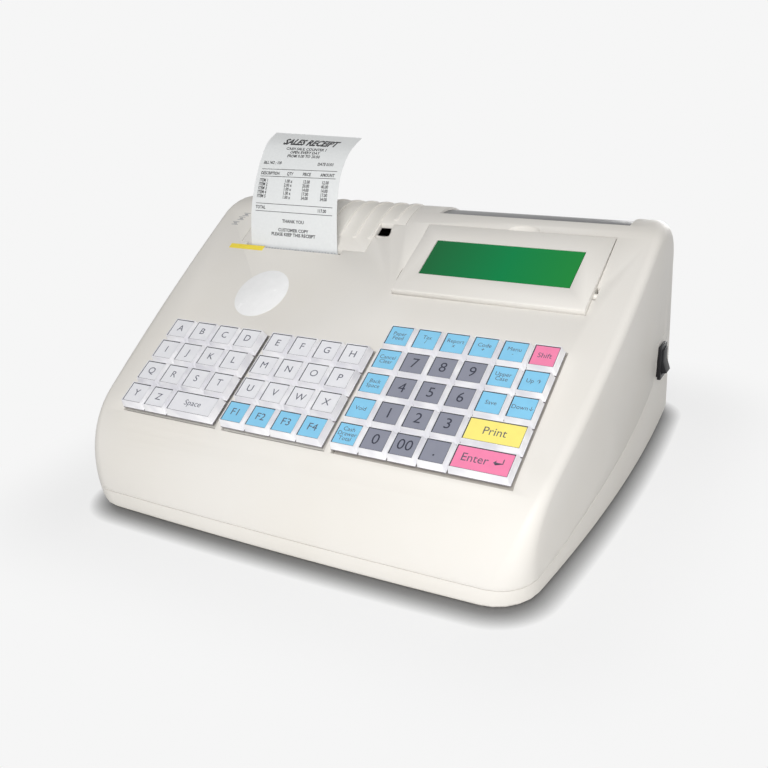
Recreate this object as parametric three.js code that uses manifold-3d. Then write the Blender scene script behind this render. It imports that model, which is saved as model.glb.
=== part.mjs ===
import * as THREE from "three";
import { mergeVertices } from "three/addons/utils/BufferGeometryUtils.js";
import Module from "manifold-3d";

const wasm = await Module();
wasm.setup();

// All sizes are in millimetres and all angles in degrees.
// x runs across the machine from its middle, y runs back from the front edge, z up from the case's lower edge.
// The sloping deck has its own frame: s runs up the slope and n stands off the deck plane.

// Case: a moulded shell with a round nose, a flat sloping deck, a round crest and a leaning rear wall.
const case_half_width = 125.7;
const rear_foot = 232;
const deck_rise = 36.6;
const deck_tilt_deg = 28.89;
const nose_radius = 56.35;
const crest_radius = 35;
const rear_lean_deg = 17.75;
const side_lean_deg = 2.86;
const side_bow = 7.2;
const front_bulge = 2.75;
const crease_radius = 4.5;
const front_corner_radius = 18;
const rear_corner_radius = 13;
const bottom_round = 4;
const wall = 2.5;
const seat_gap = 0.3;
const run_gap = 0.05;
const bow_centre_share = 0.478;
const bow_span_share = 0.526;

// Seam between base and top cover, as shares of the depth and of the crest's height, front to rear.
const seam_shares = [
  [-0.1, 0.078],
  [0.04, 0.082],
  [0.15, 0.1],
  [0.26, 0.13],
  [0.39, 0.165],
  [0.52, 0.207],
  [0.625, 0.25],
  [0.71, 0.305],
  [0.82, 0.405],
  [0.89, 0.49],
  [0.95, 0.52],
  [1.1, 0.53],
];

// Keys: pitch of the grid, sizes of a cap, its lift above the deck, its travel and its stem.
const key_pitch = 14.7;
const key_row_pitch = 14.75;
const key_gap = 0.6;
const key_top_width = 12.4;
const key_top_depth = 12.1;
const key_shoulder = 4.7;
const key_height = 5.8;
const key_rim = 0.5;
const key_label_drop = 0.4;
const key_lift = 0.7;
const key_travel = 3;
const key_stem = 5.6;
const key_stem_length = 6.2;
const key_first_row = 30.1;
const number_keys_x = 27.85;
const middle_keys_x = -35;
const left_keys_x = -98.2;
const well_margin = 0.35;
const guide_thickness = 1.5;
const keypad_thickness = 2.5;
const plate_overlap = 3;
const key_board_thickness = 1.6;
const board_travel_gap = 0.4;
const guide_post_radius = 1.6;

// Paper lid and its hinge.
const lid_left = -103;
const lid_right = -21;
const lid_wide_right = -6.3;
const lid_front = 128.7;
const lid_step = 148.4;
const lid_gap = 0.4;
const hinge_radius = 5;
const hinge_drop = 5.6;
const hinge_pin_radius = 2;
const hinge_pin_length = 3.2;
const lug_thickness = 3;
const lug_reach = 7;
const ridge_first = -13.2;
const ridge_pitch = 9.7;
const ridge_count = 9;
const ridge_width = 1.9;
const ridge_height = 0.8;
const ridge_front = 137;
const notch_width = 7.6;
const notch_front = 141.4;
const notch_scoop_half_width = 5.2;
const notch_scoop_half_length = 4.6;
const notch_scoop_depth = 1.5;
const slot_left = -98.8;
const slot_right = -34.6;
const slot_front = 125.2;

// Print mechanism.
const paper_width = 57.8;
const paper_thickness = 0.25;
const paper_middle = -66.3;
const platen_radius = 6;
const platen_back = 5.7;
const platen_drop = 9.17;
const platen_spare = 0.5;
const shaft_radius = 2.5;
const cheek_thickness = 2;
const cheek_radius = 4.2;
const cheek_gap = 0.7;
const gear_module = 0.5;
const gear_width = 4;
const gear_mesh_gap = 0.12;
const gear_offset = 1.6;
const idler_stud_radius = 1.5;
const motor_radius = 9;
const motor_length = 16;
const motor_shaft_radius = 1;
const motor_boss_radius = 4;
const head_thickness = 3;
const head_bottom = 10.7;
const head_top = 1.2;
const head_nip = 0.2;
const bridge_thickness = 3.2;
const bridge_height = 8;
const frame_plate_front = 15.4;
const frame_plate_top = 6.3;
const foot_plate_thickness = 2;
const tear_thickness = 0.6;
const tear_tooth = 0.9;
const tear_pitch = 2;
const roll_radius = 25;
const roll_core_radius = 6;
const roll_back = 168;
const roll_height = 80;
const bucket_gap = 0.4;
const bucket_thickness = 2;
const bucket_leg = 20;
const bucket_rise = 10;
const bucket_lip = 16.5;
const receipt_rise = 56.5;
const receipt_reach = 34.4;
const platen_teeth = 20;
const idler_teeth = 28;
const pinion_teeth = 14;

// Tilting display panel.
const panel_left = 8;
const panel_right = 109.5;
const panel_front = 120.4;
const panel_rear = 170.9;
const panel_proud = 2.6;
const panel_rear_proud = 0.2;
const panel_depth = 9;
const panel_wall = 2;
const panel_round = 1.1;
const panel_undercut = 1.3;
const pocket_gap = 0.4;
const pocket_front_gap = 0.9;
const pocket_depth = 14.8;
const pivot_s = 133.5;
const pivot_drop = 2.2;
const pivot_radius = 1.5;
const pivot_length = 2.6;
const pivot_notch_length = 8;
const pivot_notch_width = 1.5;
const pivot_notch_depth = 3.6;
const window_left = 17.5;
const window_right = 98;
const window_front = 133.7;
const window_rear = 159.5;
const lens_drop = 0.3;
const lens_thickness = 1.2;
const module_thickness = 4;
const module_margin = 4;
const scoop_x = 61.5;
const scoop_half_width = 8.5;
const scoop_half_length = 4;
const scoop_depth = 2.2;

// Customer window over the crest and the display behind it.
const customer_left = 9;
const customer_right = 112.5;
const customer_front = 160.3;
const customer_low = 104;
const customer_drop = 1.3;
const customer_thickness = 1.7;
const customer_board_gap = 1.9;
const customer_board_thickness = 3;
const customer_board_length = 19;
const customer_board_margin = 2.5;
const customer_facing_deg = 50;

// Power switch in the right wall.
const switch_y = 176;
const switch_z = 48;
const switch_flange_width = 11;
const switch_flange_height = 18;
const switch_flange_thickness = 1.8;
const switch_seat_proud = 0.6;
const switch_face = case_half_width + switch_seat_proud;
const switch_neck_width = 9.8;
const switch_neck_height = 15.6;
const switch_neck_depth = 12;
const rocker_width = 7.4;
const rocker_height = 12.6;
const rocker_slack = 0.3;
const rocker_out = 5.7;
const rocker_dip = 1;
const rocker_in = 0.5;
const rocker_axis_depth = 2.1;
const rocker_pin_radius = 1.2;
const rocker_pin_length = 0.7;
const rocker_lean_deg = 8;
const tab_margin = 3.5;

// Base, main board, rear sockets and feet.
const foot_radius = 7;
const foot_height = 3;
const foot_recess = 1;
const foot_side_inset = 30.7;
const foot_x = case_half_width - foot_side_inset;
const foot_front = 30;
const foot_rear_inset = 27;
const foot_rear = rear_foot - foot_rear_inset;
const board_left = -15;
const board_right = 100;
const board_front = 128;
const board_rear = 219;
const board_height = 10;
const board_thickness = 1.6;
const board_post_radius = 3;
const board_post_inset = 5;
const chip_size = 14;
const chip_height = 1.4;
const capacitor_radius = 5;
const capacitor_height = 12;
const jack_x = 20;
const jack_width = 9;
const jack_height = 11;
const jack_length = 14;
const jack_bore = 3;
const jack_bore_depth = 9;
const jack_pin_radius = 1;
const drawer_x = 52;
const drawer_width = 14;
const drawer_height = 13;
const drawer_length = 18;
const drawer_mouth_width = 9.8;
const drawer_mouth_height = 7;
const drawer_mouth_depth = 12;
const socket_proud = 0.5;
const boss_radius = 4;
const boss_top = 20;
const boss_front_inset = 65.7;
const boss_front_x = case_half_width - boss_front_inset;
const boss_front_y = 13;
const boss_rear_side_inset = 15.7;
const boss_rear_x = case_half_width - boss_rear_side_inset;
const boss_rear_inset = 29;
const boss_rear_y = rear_foot - boss_rear_inset;

const rad = THREE.MathUtils.degToRad;
const tilt = rad(deck_tilt_deg);
const lean = rad(rear_lean_deg);
const side_lean = Math.tan(rad(side_lean_deg));
const half = (a, b) => (a + b) / 2;

// Centre of the nose arc, which touches the front edge line and the deck plane.
const nose_z = deck_rise + (nose_radius * Math.sin(tilt) - nose_radius) / Math.cos(tilt);
// Centre of the crest arc, which touches the deck plane and the rear wall.
const on_deck = Math.cos(tilt) * deck_rise - crest_radius;
const on_rear = Math.cos(lean) * rear_foot - crest_radius;
const spread = Math.cos(tilt - lean);
const crest_y = (Math.cos(tilt) * on_rear - Math.sin(lean) * on_deck) / spread;
const crest_z = (Math.sin(tilt) * on_rear + Math.cos(lean) * on_deck) / spread;
const case_top = crest_z + crest_radius;
const deckPoint = (s, n) => [
  s * Math.cos(tilt) - n * Math.sin(tilt),
  deck_rise + s * Math.sin(tilt) + n * Math.cos(tilt),
];
const deckHeight = (y) => deck_rise + y * Math.tan(tilt);

// Half width of the case at a depth and height: the sides bow out in plan and lean out going up.
function halfWidth(y, z) {
  const t = (y - bow_centre_share * rear_foot) / (bow_span_share * rear_foot);
  return case_half_width + z * side_lean - side_bow * t * t;
}

// A closed solid from a geometry, faces turned outwards.
function solid(geometry) {
  const g = geometry.clone();
  g.deleteAttribute("normal");
  g.deleteAttribute("uv");
  const merged = mergeVertices(g);
  const all = merged.index.array;
  const kept = [];
  for (let i = 0; i < all.length; i += 3) {
    const [a, b, c] = [all[i], all[i + 1], all[i + 2]];
    if (a !== b && b !== c && c !== a) kept.push(a, b, c);
  }
  const vertProperties = merged.attributes.position.array;
  const make = (tris) =>
    new wasm.Manifold(new wasm.Mesh({ numProp: 3, vertProperties, triVerts: new Uint32Array(tris) }));
  const made = make(kept);
  if (made.volume() >= 0) return made;
  for (let i = 0; i < kept.length; i += 3) {
    [kept[i + 1], kept[i + 2]] = [kept[i + 2], kept[i + 1]];
  }
  return make(kept);
}

// A box between two corners.
function box(x0, x1, y0, y1, z0, z1) {
  const g = new THREE.BoxGeometry(x1 - x0, y1 - y0, z1 - z0);
  g.translate(half(x0, x1), half(y0, y1), half(z0, z1));
  return solid(g);
}

// Moves a geometry from the deck's frame to the case's frame.
function ontoDeck(g) {
  g.rotateX(tilt);
  g.translate(0, 0, deck_rise);
  return g;
}

// A box between two corners of the deck's frame.
function deckBox(x0, x1, s0, s1, n0, n1) {
  const g = new THREE.BoxGeometry(x1 - x0, s1 - s0, n1 - n0);
  g.translate(half(x0, x1), half(s0, s1), half(n0, n1));
  return solid(ontoDeck(g));
}

// A round bar along x.
function rod(x0, x1, y, z, radius, sides = 32) {
  const g = new THREE.CylinderGeometry(radius, radius, x1 - x0, sides);
  g.rotateZ(Math.PI / 2);
  g.translate(half(x0, x1), y, z);
  return solid(g);
}

// A round bar standing along z.
function post(x, y, z0, z1, radius, sides = 24) {
  const g = new THREE.CylinderGeometry(radius, radius, z1 - z0, sides);
  g.rotateX(Math.PI / 2);
  g.translate(x, y, half(z0, z1));
  return solid(g);
}

// An outline in y and z drawn out along x.
function prism(points, x0, x1) {
  const shape = new THREE.Shape(points.map(([y, z]) => new THREE.Vector2(y, z)));
  const g = new THREE.ExtrudeGeometry(shape, { depth: x1 - x0, bevelEnabled: false });
  const turn = new THREE.Matrix4().makeBasis(
    new THREE.Vector3(0, 1, 0),
    new THREE.Vector3(0, 0, 1),
    new THREE.Vector3(1, 0, 0),
  );
  g.applyMatrix4(turn);
  g.translate(x0, 0, 0);
  return solid(g);
}

const join = (list) => list.reduce((a, b) => a.add(b));

// Stations along the side profile, front to rear: place, outward normal, edge radius and slide share.
function stations(inset) {
  const low = Math.max(bottom_round - inset, 0.2 * bottom_round);
  const start = inset + low;
  const list = [];
  const nose_steps = 14;
  const deck_steps = 7;
  const crest_steps = 12;
  const rear_steps = 5;
  const first = Math.PI - Math.asin((start - nose_z) / (nose_radius - inset));
  const last = Math.PI / 2 + tilt;
  for (let i = 0; i <= nose_steps; i++) {
    const share = i / nose_steps;
    const a = first + (last - first) * share;
    const ease = (1 - share) ** 2;
    const radius = crease_radius + (front_corner_radius - crease_radius) * ease;
    const reach = nose_radius - inset;
    const y = nose_radius + reach * Math.cos(a);
    const z = nose_z + reach * Math.sin(a);
    list.push({ y, z, ny: Math.cos(a), nz: Math.sin(a), radius, slide: Math.max(0, 1 - 4 * share) });
  }
  const from = list[list.length - 1];
  const crest = [];
  for (let i = 0; i <= crest_steps; i++) {
    const share = i / crest_steps;
    const a = last + (lean - last) * share;
    const radius = crease_radius + (rear_corner_radius - crease_radius) * share;
    const reach = crest_radius - inset;
    const y = crest_y + reach * Math.cos(a);
    const z = crest_z + reach * Math.sin(a);
    crest.push({ y, z, ny: Math.cos(a), nz: Math.sin(a), radius, slide: 0 });
  }
  for (let i = 1; i < deck_steps; i++) {
    const share = i / deck_steps;
    const y = from.y + (crest[0].y - from.y) * share;
    const z = from.z + (crest[0].z - from.z) * share;
    list.push({ y, z, ny: from.ny, nz: from.nz, radius: crease_radius, slide: 0 });
  }
  list.push(...crest);
  const top = crest[crest.length - 1];
  for (let i = 1; i <= rear_steps; i++) {
    const share = i / rear_steps;
    const z = top.z + (start - top.z) * share;
    const y = top.y + (top.z - z) * Math.tan(lean);
    list.push({ y, z, ny: top.ny, nz: top.nz, radius: rear_corner_radius, slide: share });
  }
  return list;
}

// The whole case as one closed body, with every face moved inwards by the inset.
function caseSolid(inset) {
  const line = stations(inset);
  const low = Math.max(bottom_round - inset, 0.2 * bottom_round);
  const fillet_steps = 5;
  const across_steps = 6;
  const side_steps = 5;
  const round_steps = 3;
  const deck_start = deckHeight(nose_radius - nose_radius * Math.sin(tilt));
  const points = [];
  const tris = [];
  function add(x, y, z) {
    const wide = halfWidth(y, z);
    const rise = Math.max(0, 1 - z / deck_start) ** 2;
    const back = Math.max(0, 1 - (2 * y) / rear_foot);
    const bulge = front_bulge * (1 - (x / wide) ** 2) * rise * back;
    points.push(x, y - bulge, z);
    return points.length / 3 - 1;
  }
  const quad = (a, b, c, d) => tris.push(a, b, c, a, c, d);
  const rows = [];
  const tops = [];
  for (const at of line) {
    const radius = Math.max(at.radius - inset, 0.2 * crease_radius);
    const row = [];
    const edge = (phi) => {
      const drop = radius * (1 - Math.sin(phi));
      const y = at.y - drop * (at.ny + (at.slide * at.nz * at.nz) / at.ny);
      const z = at.z - drop * at.nz * (1 - at.slide);
      return [halfWidth(y, z) - inset - radius * (1 - Math.cos(phi)), y, z];
    };
    for (let j = 0; j <= fillet_steps; j++) {
      const [x, y, z] = edge((j / fillet_steps) * (Math.PI / 2));
      row.push(add(-x, y, z));
    }
    const flat = halfWidth(at.y, at.z) - inset - radius;
    for (let j = 1; j < across_steps; j++) {
      row.push(add(flat * ((2 * j) / across_steps - 1), at.y, at.z));
    }
    for (let j = fillet_steps; j >= 0; j--) {
      const [x, y, z] = edge((j / fillet_steps) * (Math.PI / 2));
      row.push(add(x, y, z));
    }
    rows.push(row);
    tops.push(edge(0));
  }
  for (let i = 0; i + 1 < rows.length; i++) {
    for (let j = 0; j + 1 < rows[i].length; j++) {
      quad(rows[i][j], rows[i][j + 1], rows[i + 1][j + 1], rows[i + 1][j]);
    }
  }
  const end = rows.length - 1;
  const floors = { left: [], right: [] };
  for (const [name, sign] of [["left", -1], ["right", 1]]) {
    const columns = tops.map(([, y, z], i) => {
      const foot_y = tops[0][1] + ((tops[end][1] - tops[0][1]) * i) / end;
      const foot_z = tops[0][2];
      const top = sign < 0 ? rows[i][0] : rows[i][rows[i].length - 1];
      const column = [top];
      for (let k = 1; k <= side_steps; k++) {
        const share = k / side_steps;
        const py = y + (foot_y - y) * share;
        const pz = z + (foot_z - z) * share;
        const same = i === 0 || i === end;
        column.push(same ? top : add(sign * (halfWidth(py, pz) - inset), py, pz));
      }
      return column;
    });
    for (let i = 0; i < end; i++) {
      for (let k = 0; k < side_steps; k++) {
        const [a, b, c, d] = [columns[i][k], columns[i + 1][k], columns[i + 1][k + 1], columns[i][k + 1]];
        if (sign > 0) quad(a, d, c, b);
        else quad(a, b, c, d);
      }
    }
    floors[name] = columns.map((column) => column[side_steps]);
  }
  // The lower rim: a closed ring that turns inwards in steps to the flat underside.
  let ring = [
    ...rows[0],
    ...floors.right.slice(1, end),
    ...[...rows[end]].reverse(),
    ...floors.left.slice(1, end).reverse(),
  ];
  const base = ring.map((v) => [points[3 * v], points[3 * v + 1]]);
  const inward = base.map(([x, y], i) => {
    const [ax, ay] = base[(i + base.length - 1) % base.length];
    const [bx, by] = base[(i + 1) % base.length];
    const length = Math.hypot(bx - ax, by - ay);
    return [-(by - ay) / length, (bx - ax) / length];
  });
  for (let k = 1; k <= round_steps; k++) {
    const a = (k / round_steps) * (Math.PI / 2);
    const step = low * (1 - Math.cos(a));
    const z = inset + low * (1 - Math.sin(a));
    const next = base.map(([x, y], i) => {
      points.push(x + step * inward[i][0], y + step * inward[i][1], z);
      return points.length / 3 - 1;
    });
    for (let i = 0; i < ring.length; i++) {
      const j = (i + 1) % ring.length;
      quad(ring[i], next[i], next[j], ring[j]);
    }
    ring = next;
  }
  points.push(0, rear_foot / 2, inset);
  const hub = points.length / 3 - 1;
  ring.forEach((v, i) => tris.push(hub, ring[(i + 1) % ring.length], v));
  const g = new THREE.BufferGeometry();
  g.setAttribute("position", new THREE.Float32BufferAttribute(points, 3));
  g.setIndex(tris);
  return solid(g);
}

const outer = caseSolid(0);
const inner = caseSolid(wall);
const shell = outer.subtract(inner);
const far = 2 * rear_foot;

// The seam surface, as the region below it across the whole width.
function below(rise) {
  const curve = new THREE.CatmullRomCurve3(
    seam_shares.map(([y, z]) => new THREE.Vector3(y * rear_foot, z * case_top + rise, 0)),
  );
  const line = curve.getPoints(36).map((p) => [p.x, p.y]);
  const [first, last] = [line[0], line[line.length - 1]];
  return prism([[first[0], -far], [last[0], -far], ...line.reverse()], -far, far);
}
const tab_y = switch_flange_width / 2 + tab_margin;
const tab_z = switch_flange_height / 2 + tab_margin;
const switchTab = (grow) =>
  box(
    case_half_width / 2,
    far,
    switch_y - tab_y - grow,
    switch_y + tab_y + grow,
    0,
    switch_z + tab_z + grow,
  );

const group = new THREE.Group();
group.name = "billing_printer";
const colours = {
  ivory: [0xe9e5da, 0.42, 0],
  ivory_base: [0xe2ded3, 0.46, 0],
  clear: [0xe8eaf2, 0.25, 0],
  blue: [0x87ceef, 0.3, 0],
  grey: [0x878a96, 0.35, 0],
  pink: [0xf596be, 0.3, 0],
  yellow: [0xffee82, 0.3, 0],
  paper: [0xf4f5f6, 0.8, 0],
  rubber: [0x222222, 0.9, 0],
  steel: [0xb8bcc0, 0.35, 1],
  black: [0x17171a, 0.5, 0],
  nylon: [0xe6e3dc, 0.6, 0],
  board: [0x1f6b3c, 0.6, 0],
  smoke: [0x8d9094, 0.2, 0],
  green: [0x148a48, 0.25, 0],
};

// Adds one named piece from a closed solid.
function piece(name, made, colour) {
  const mesh = made.getMesh();
  const g = new THREE.BufferGeometry();
  g.setAttribute("position", new THREE.Float32BufferAttribute(mesh.vertProperties, 3));
  g.setIndex([...mesh.triVerts]);
  g.computeVertexNormals();
  const [color, roughness, metalness] = colours[colour];
  const item = new THREE.Mesh(g, new THREE.MeshStandardMaterial({ color, roughness, metalness }));
  item.name = name;
  group.add(item);
}

// Grid of the number keys: column, row and width in cells. Row 0 is the rearmost.
const number_cells = [];
for (let row = 0; row < 5; row++) {
  for (let column = 0; column < 6; column++) {
    const wide = row > 2 && column === 4;
    if (row > 2 && column === 5) continue;
    number_cells.push({ row, column, cells: wide ? 2 : 1 });
  }
}
const number_rows = 5;
const letter_rows = 4;
const rowAt = (row, rows) => key_first_row + (rows - 1 - row) * key_row_pitch;

// A key cap with a flared skirt, a rimmed top with a sunk label and a square stem.
function keyCap(x, s, cells, stem, stem_low) {
  const extra = (cells - 1) * key_pitch;
  const skirt_w = key_pitch - key_gap + extra;
  const skirt_d = key_row_pitch - key_gap;
  const rings = [
    [stem, stem, stem_low],
    [stem, stem, key_lift],
    [skirt_w, skirt_d, key_lift],
    [key_top_width + extra, key_top_depth, key_shoulder],
    [key_top_width + extra - key_rim / 2, key_top_depth - key_rim / 2, key_height],
    [key_top_width + extra - 2 * key_rim, key_top_depth - 2 * key_rim, key_height],
    [key_top_width + extra - 2 * key_rim, key_top_depth - 2 * key_rim, key_height - key_label_drop],
  ];
  const points = [];
  for (const [w, d, n] of rings) {
    for (const [i, j] of [[-1, -1], [1, -1], [1, 1], [-1, 1]]) {
      points.push(x + (i * w) / 2, s + (j * d) / 2, n);
    }
  }
  const tris = [0, 2, 1, 0, 3, 2];
  for (let k = 0; k + 1 < rings.length; k++) {
    for (let i = 0; i < 4; i++) {
      const [a, b] = [4 * k + i, 4 * k + ((i + 1) % 4)];
      tris.push(a, b, b + 4, a, b + 4, a + 4);
    }
  }
  const t = 4 * (rings.length - 1);
  tris.push(t, t + 1, t + 2, t, t + 2, t + 3);
  const g = new THREE.BufferGeometry();
  g.setAttribute("position", new THREE.Float32BufferAttribute(points, 3));
  g.setIndex(tris);
  return solid(ontoDeck(g));
}
const columnAt = (first, column, cells) => first + (column + (cells - 1) / 2) * key_pitch;

// Key wells in the deck: one for the number block, two for the letter blocks.
function well(first, columns, rows, grow) {
  const x0 = first - key_pitch / 2;
  const s0 = key_first_row - key_row_pitch / 2;
  return [
    x0 - grow,
    x0 + columns * key_pitch + grow,
    s0 - grow,
    s0 + rows * key_row_pitch + grow,
  ];
}
const number_well = well(number_keys_x, 6, number_rows, well_margin);
const middle_well = well(middle_keys_x, 4, letter_rows, well_margin);
const left_well = well(left_keys_x, 4, letter_rows, well_margin);

// Number keys, each on its own stem.
const number_colours = [
  ["blue", "blue", "blue", "blue", "blue", "pink"],
  ["blue", "grey", "grey", "grey", "blue", "blue"],
  ["blue", "grey", "grey", "grey", "blue", "blue"],
  ["blue", "grey", "grey", "grey", "yellow"],
  ["blue", "grey", "grey", "grey", "pink"],
];
const stem_low = key_lift - key_stem_length;
for (const { row, column, cells } of number_cells) {
  const x = columnAt(number_keys_x, column, cells);
  const cap = keyCap(x, rowAt(row, number_rows), cells, key_stem, stem_low);
  piece(`number_key_${row + 1}_${column + 1}`, cap, number_colours[row][column]);
}

// Guide plate under the deck that holds the number keys' stems, with posts down to the key board.
const guide_top = -wall - seat_gap;
const board_top = stem_low - key_travel - board_travel_gap;
const under_skin = caseSolid(wall + seat_gap);
{
  const [x0, x1, s0, s1] = number_well;
  const reach = Math.min(plate_overlap, (number_keys_x - key_pitch / 2 - x0 + plate_overlap) / 2);
  let guide = deckBox(
    x0 - reach / 2,
    x1 + plate_overlap,
    s0 - plate_overlap,
    s1 + plate_overlap,
    guide_top - guide_thickness,
    guide_top,
  ).intersect(under_skin);
  const hole = key_stem / 2 + seat_gap;
  for (const { row, column, cells } of number_cells) {
    const x = columnAt(number_keys_x, column, cells);
    const s = rowAt(row, number_rows);
    guide = guide.subtract(deckBox(x - hole, x + hole, s - hole, s + hole, stem_low, key_lift));
  }
  for (const x of [x0 + key_pitch, x1 - key_pitch]) {
    for (const row of [1, 4]) {
      const leg = new THREE.CylinderGeometry(
        guide_post_radius,
        guide_post_radius,
        guide_top - guide_thickness / 2 - board_top - seat_gap,
        16,
      );
      leg.rotateX(Math.PI / 2);
      leg.translate(
        x,
        rowAt(row, number_rows) + key_row_pitch / 2,
        half(guide_top - guide_thickness / 2, board_top + seat_gap),
      );
      guide = guide.add(solid(ontoDeck(leg)));
    }
  }
  piece("number_key_guide", guide, "black");
}

// Letter keypad: the plate under the deck with its letter and function caps moulded on.
{
  const keypad_right = Math.min(middle_well[1] + plate_overlap / 3, number_well[0] - plate_overlap);
  const caps = [
    deckBox(
      left_well[0] - plate_overlap,
      half(middle_well[1], keypad_right),
      left_well[2] - plate_overlap,
      left_well[3] + plate_overlap,
      guide_top - keypad_thickness,
      guide_top,
    ).intersect(under_skin),
  ];
  const cap_stem = key_top_depth - 4 * key_rim;
  const cap_low = guide_top - keypad_thickness / 2;
  for (let row = 0; row < letter_rows; row++) {
    for (let column = 0; column < 4; column++) {
      const s = rowAt(row, letter_rows);
      caps.push(keyCap(columnAt(middle_keys_x, column, 1), s, 1, cap_stem, cap_low));
      const wide = row === letter_rows - 1 && column === 2;
      if (row === letter_rows - 1 && column === 3) continue;
      const cells = wide ? 2 : 1;
      caps.push(keyCap(columnAt(left_keys_x, column, cells), s, cells, cap_stem, cap_low));
    }
  }
  piece("letter_keypad", join(caps), "clear");
}
piece(
  "key_board",
  deckBox(
    left_well[0] - plate_overlap,
    number_well[1] + plate_overlap,
    number_well[2] - plate_overlap,
    number_well[3] + plate_overlap,
    board_top - key_board_thickness,
    board_top,
  ).add(
    deckBox(
      left_well[0],
      middle_well[1],
      half(left_well[2], left_well[3]) - key_row_pitch / 4,
      half(left_well[2], left_well[3]) + key_row_pitch / 4,
      board_top - key_board_thickness / 2,
      guide_top - keypad_thickness - seat_gap,
    ),
  ),
  "board",
);

// Hinge axis of the paper lid, one barrel radius inside the rear wall's outer face at the crest's end.
const hinge_y = crest_y + (crest_radius - hinge_radius) * Math.cos(lean);
const hinge_z = crest_z + (crest_radius - hinge_radius) * Math.sin(lean);
const lid_low = hinge_z + hinge_radius * Math.sin(lean) - hinge_drop * Math.cos(lean);

// Platen place, behind and under the lid's front edge.
const platen_y = lid_front + platen_back;
const platen_z = deckHeight(platen_y) - platen_drop / Math.cos(tilt);
const roller_half = paper_width / 2 + platen_spare;
const cheek_left = paper_middle - roller_half - cheek_gap - cheek_thickness;
const cheek_right = paper_middle + roller_half + cheek_gap;
const gear_left = cheek_right + cheek_thickness + gear_offset;
const gear_right = gear_left + gear_width;

// A round disc outline, for prisms.
function disc(y, z, radius, sides = 32) {
  const out = [];
  for (let i = 0; i < sides; i++) {
    const a = (2 * Math.PI * i) / sides;
    out.push([y + radius * Math.cos(a), z + radius * Math.sin(a)]);
  }
  return out;
}

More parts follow.
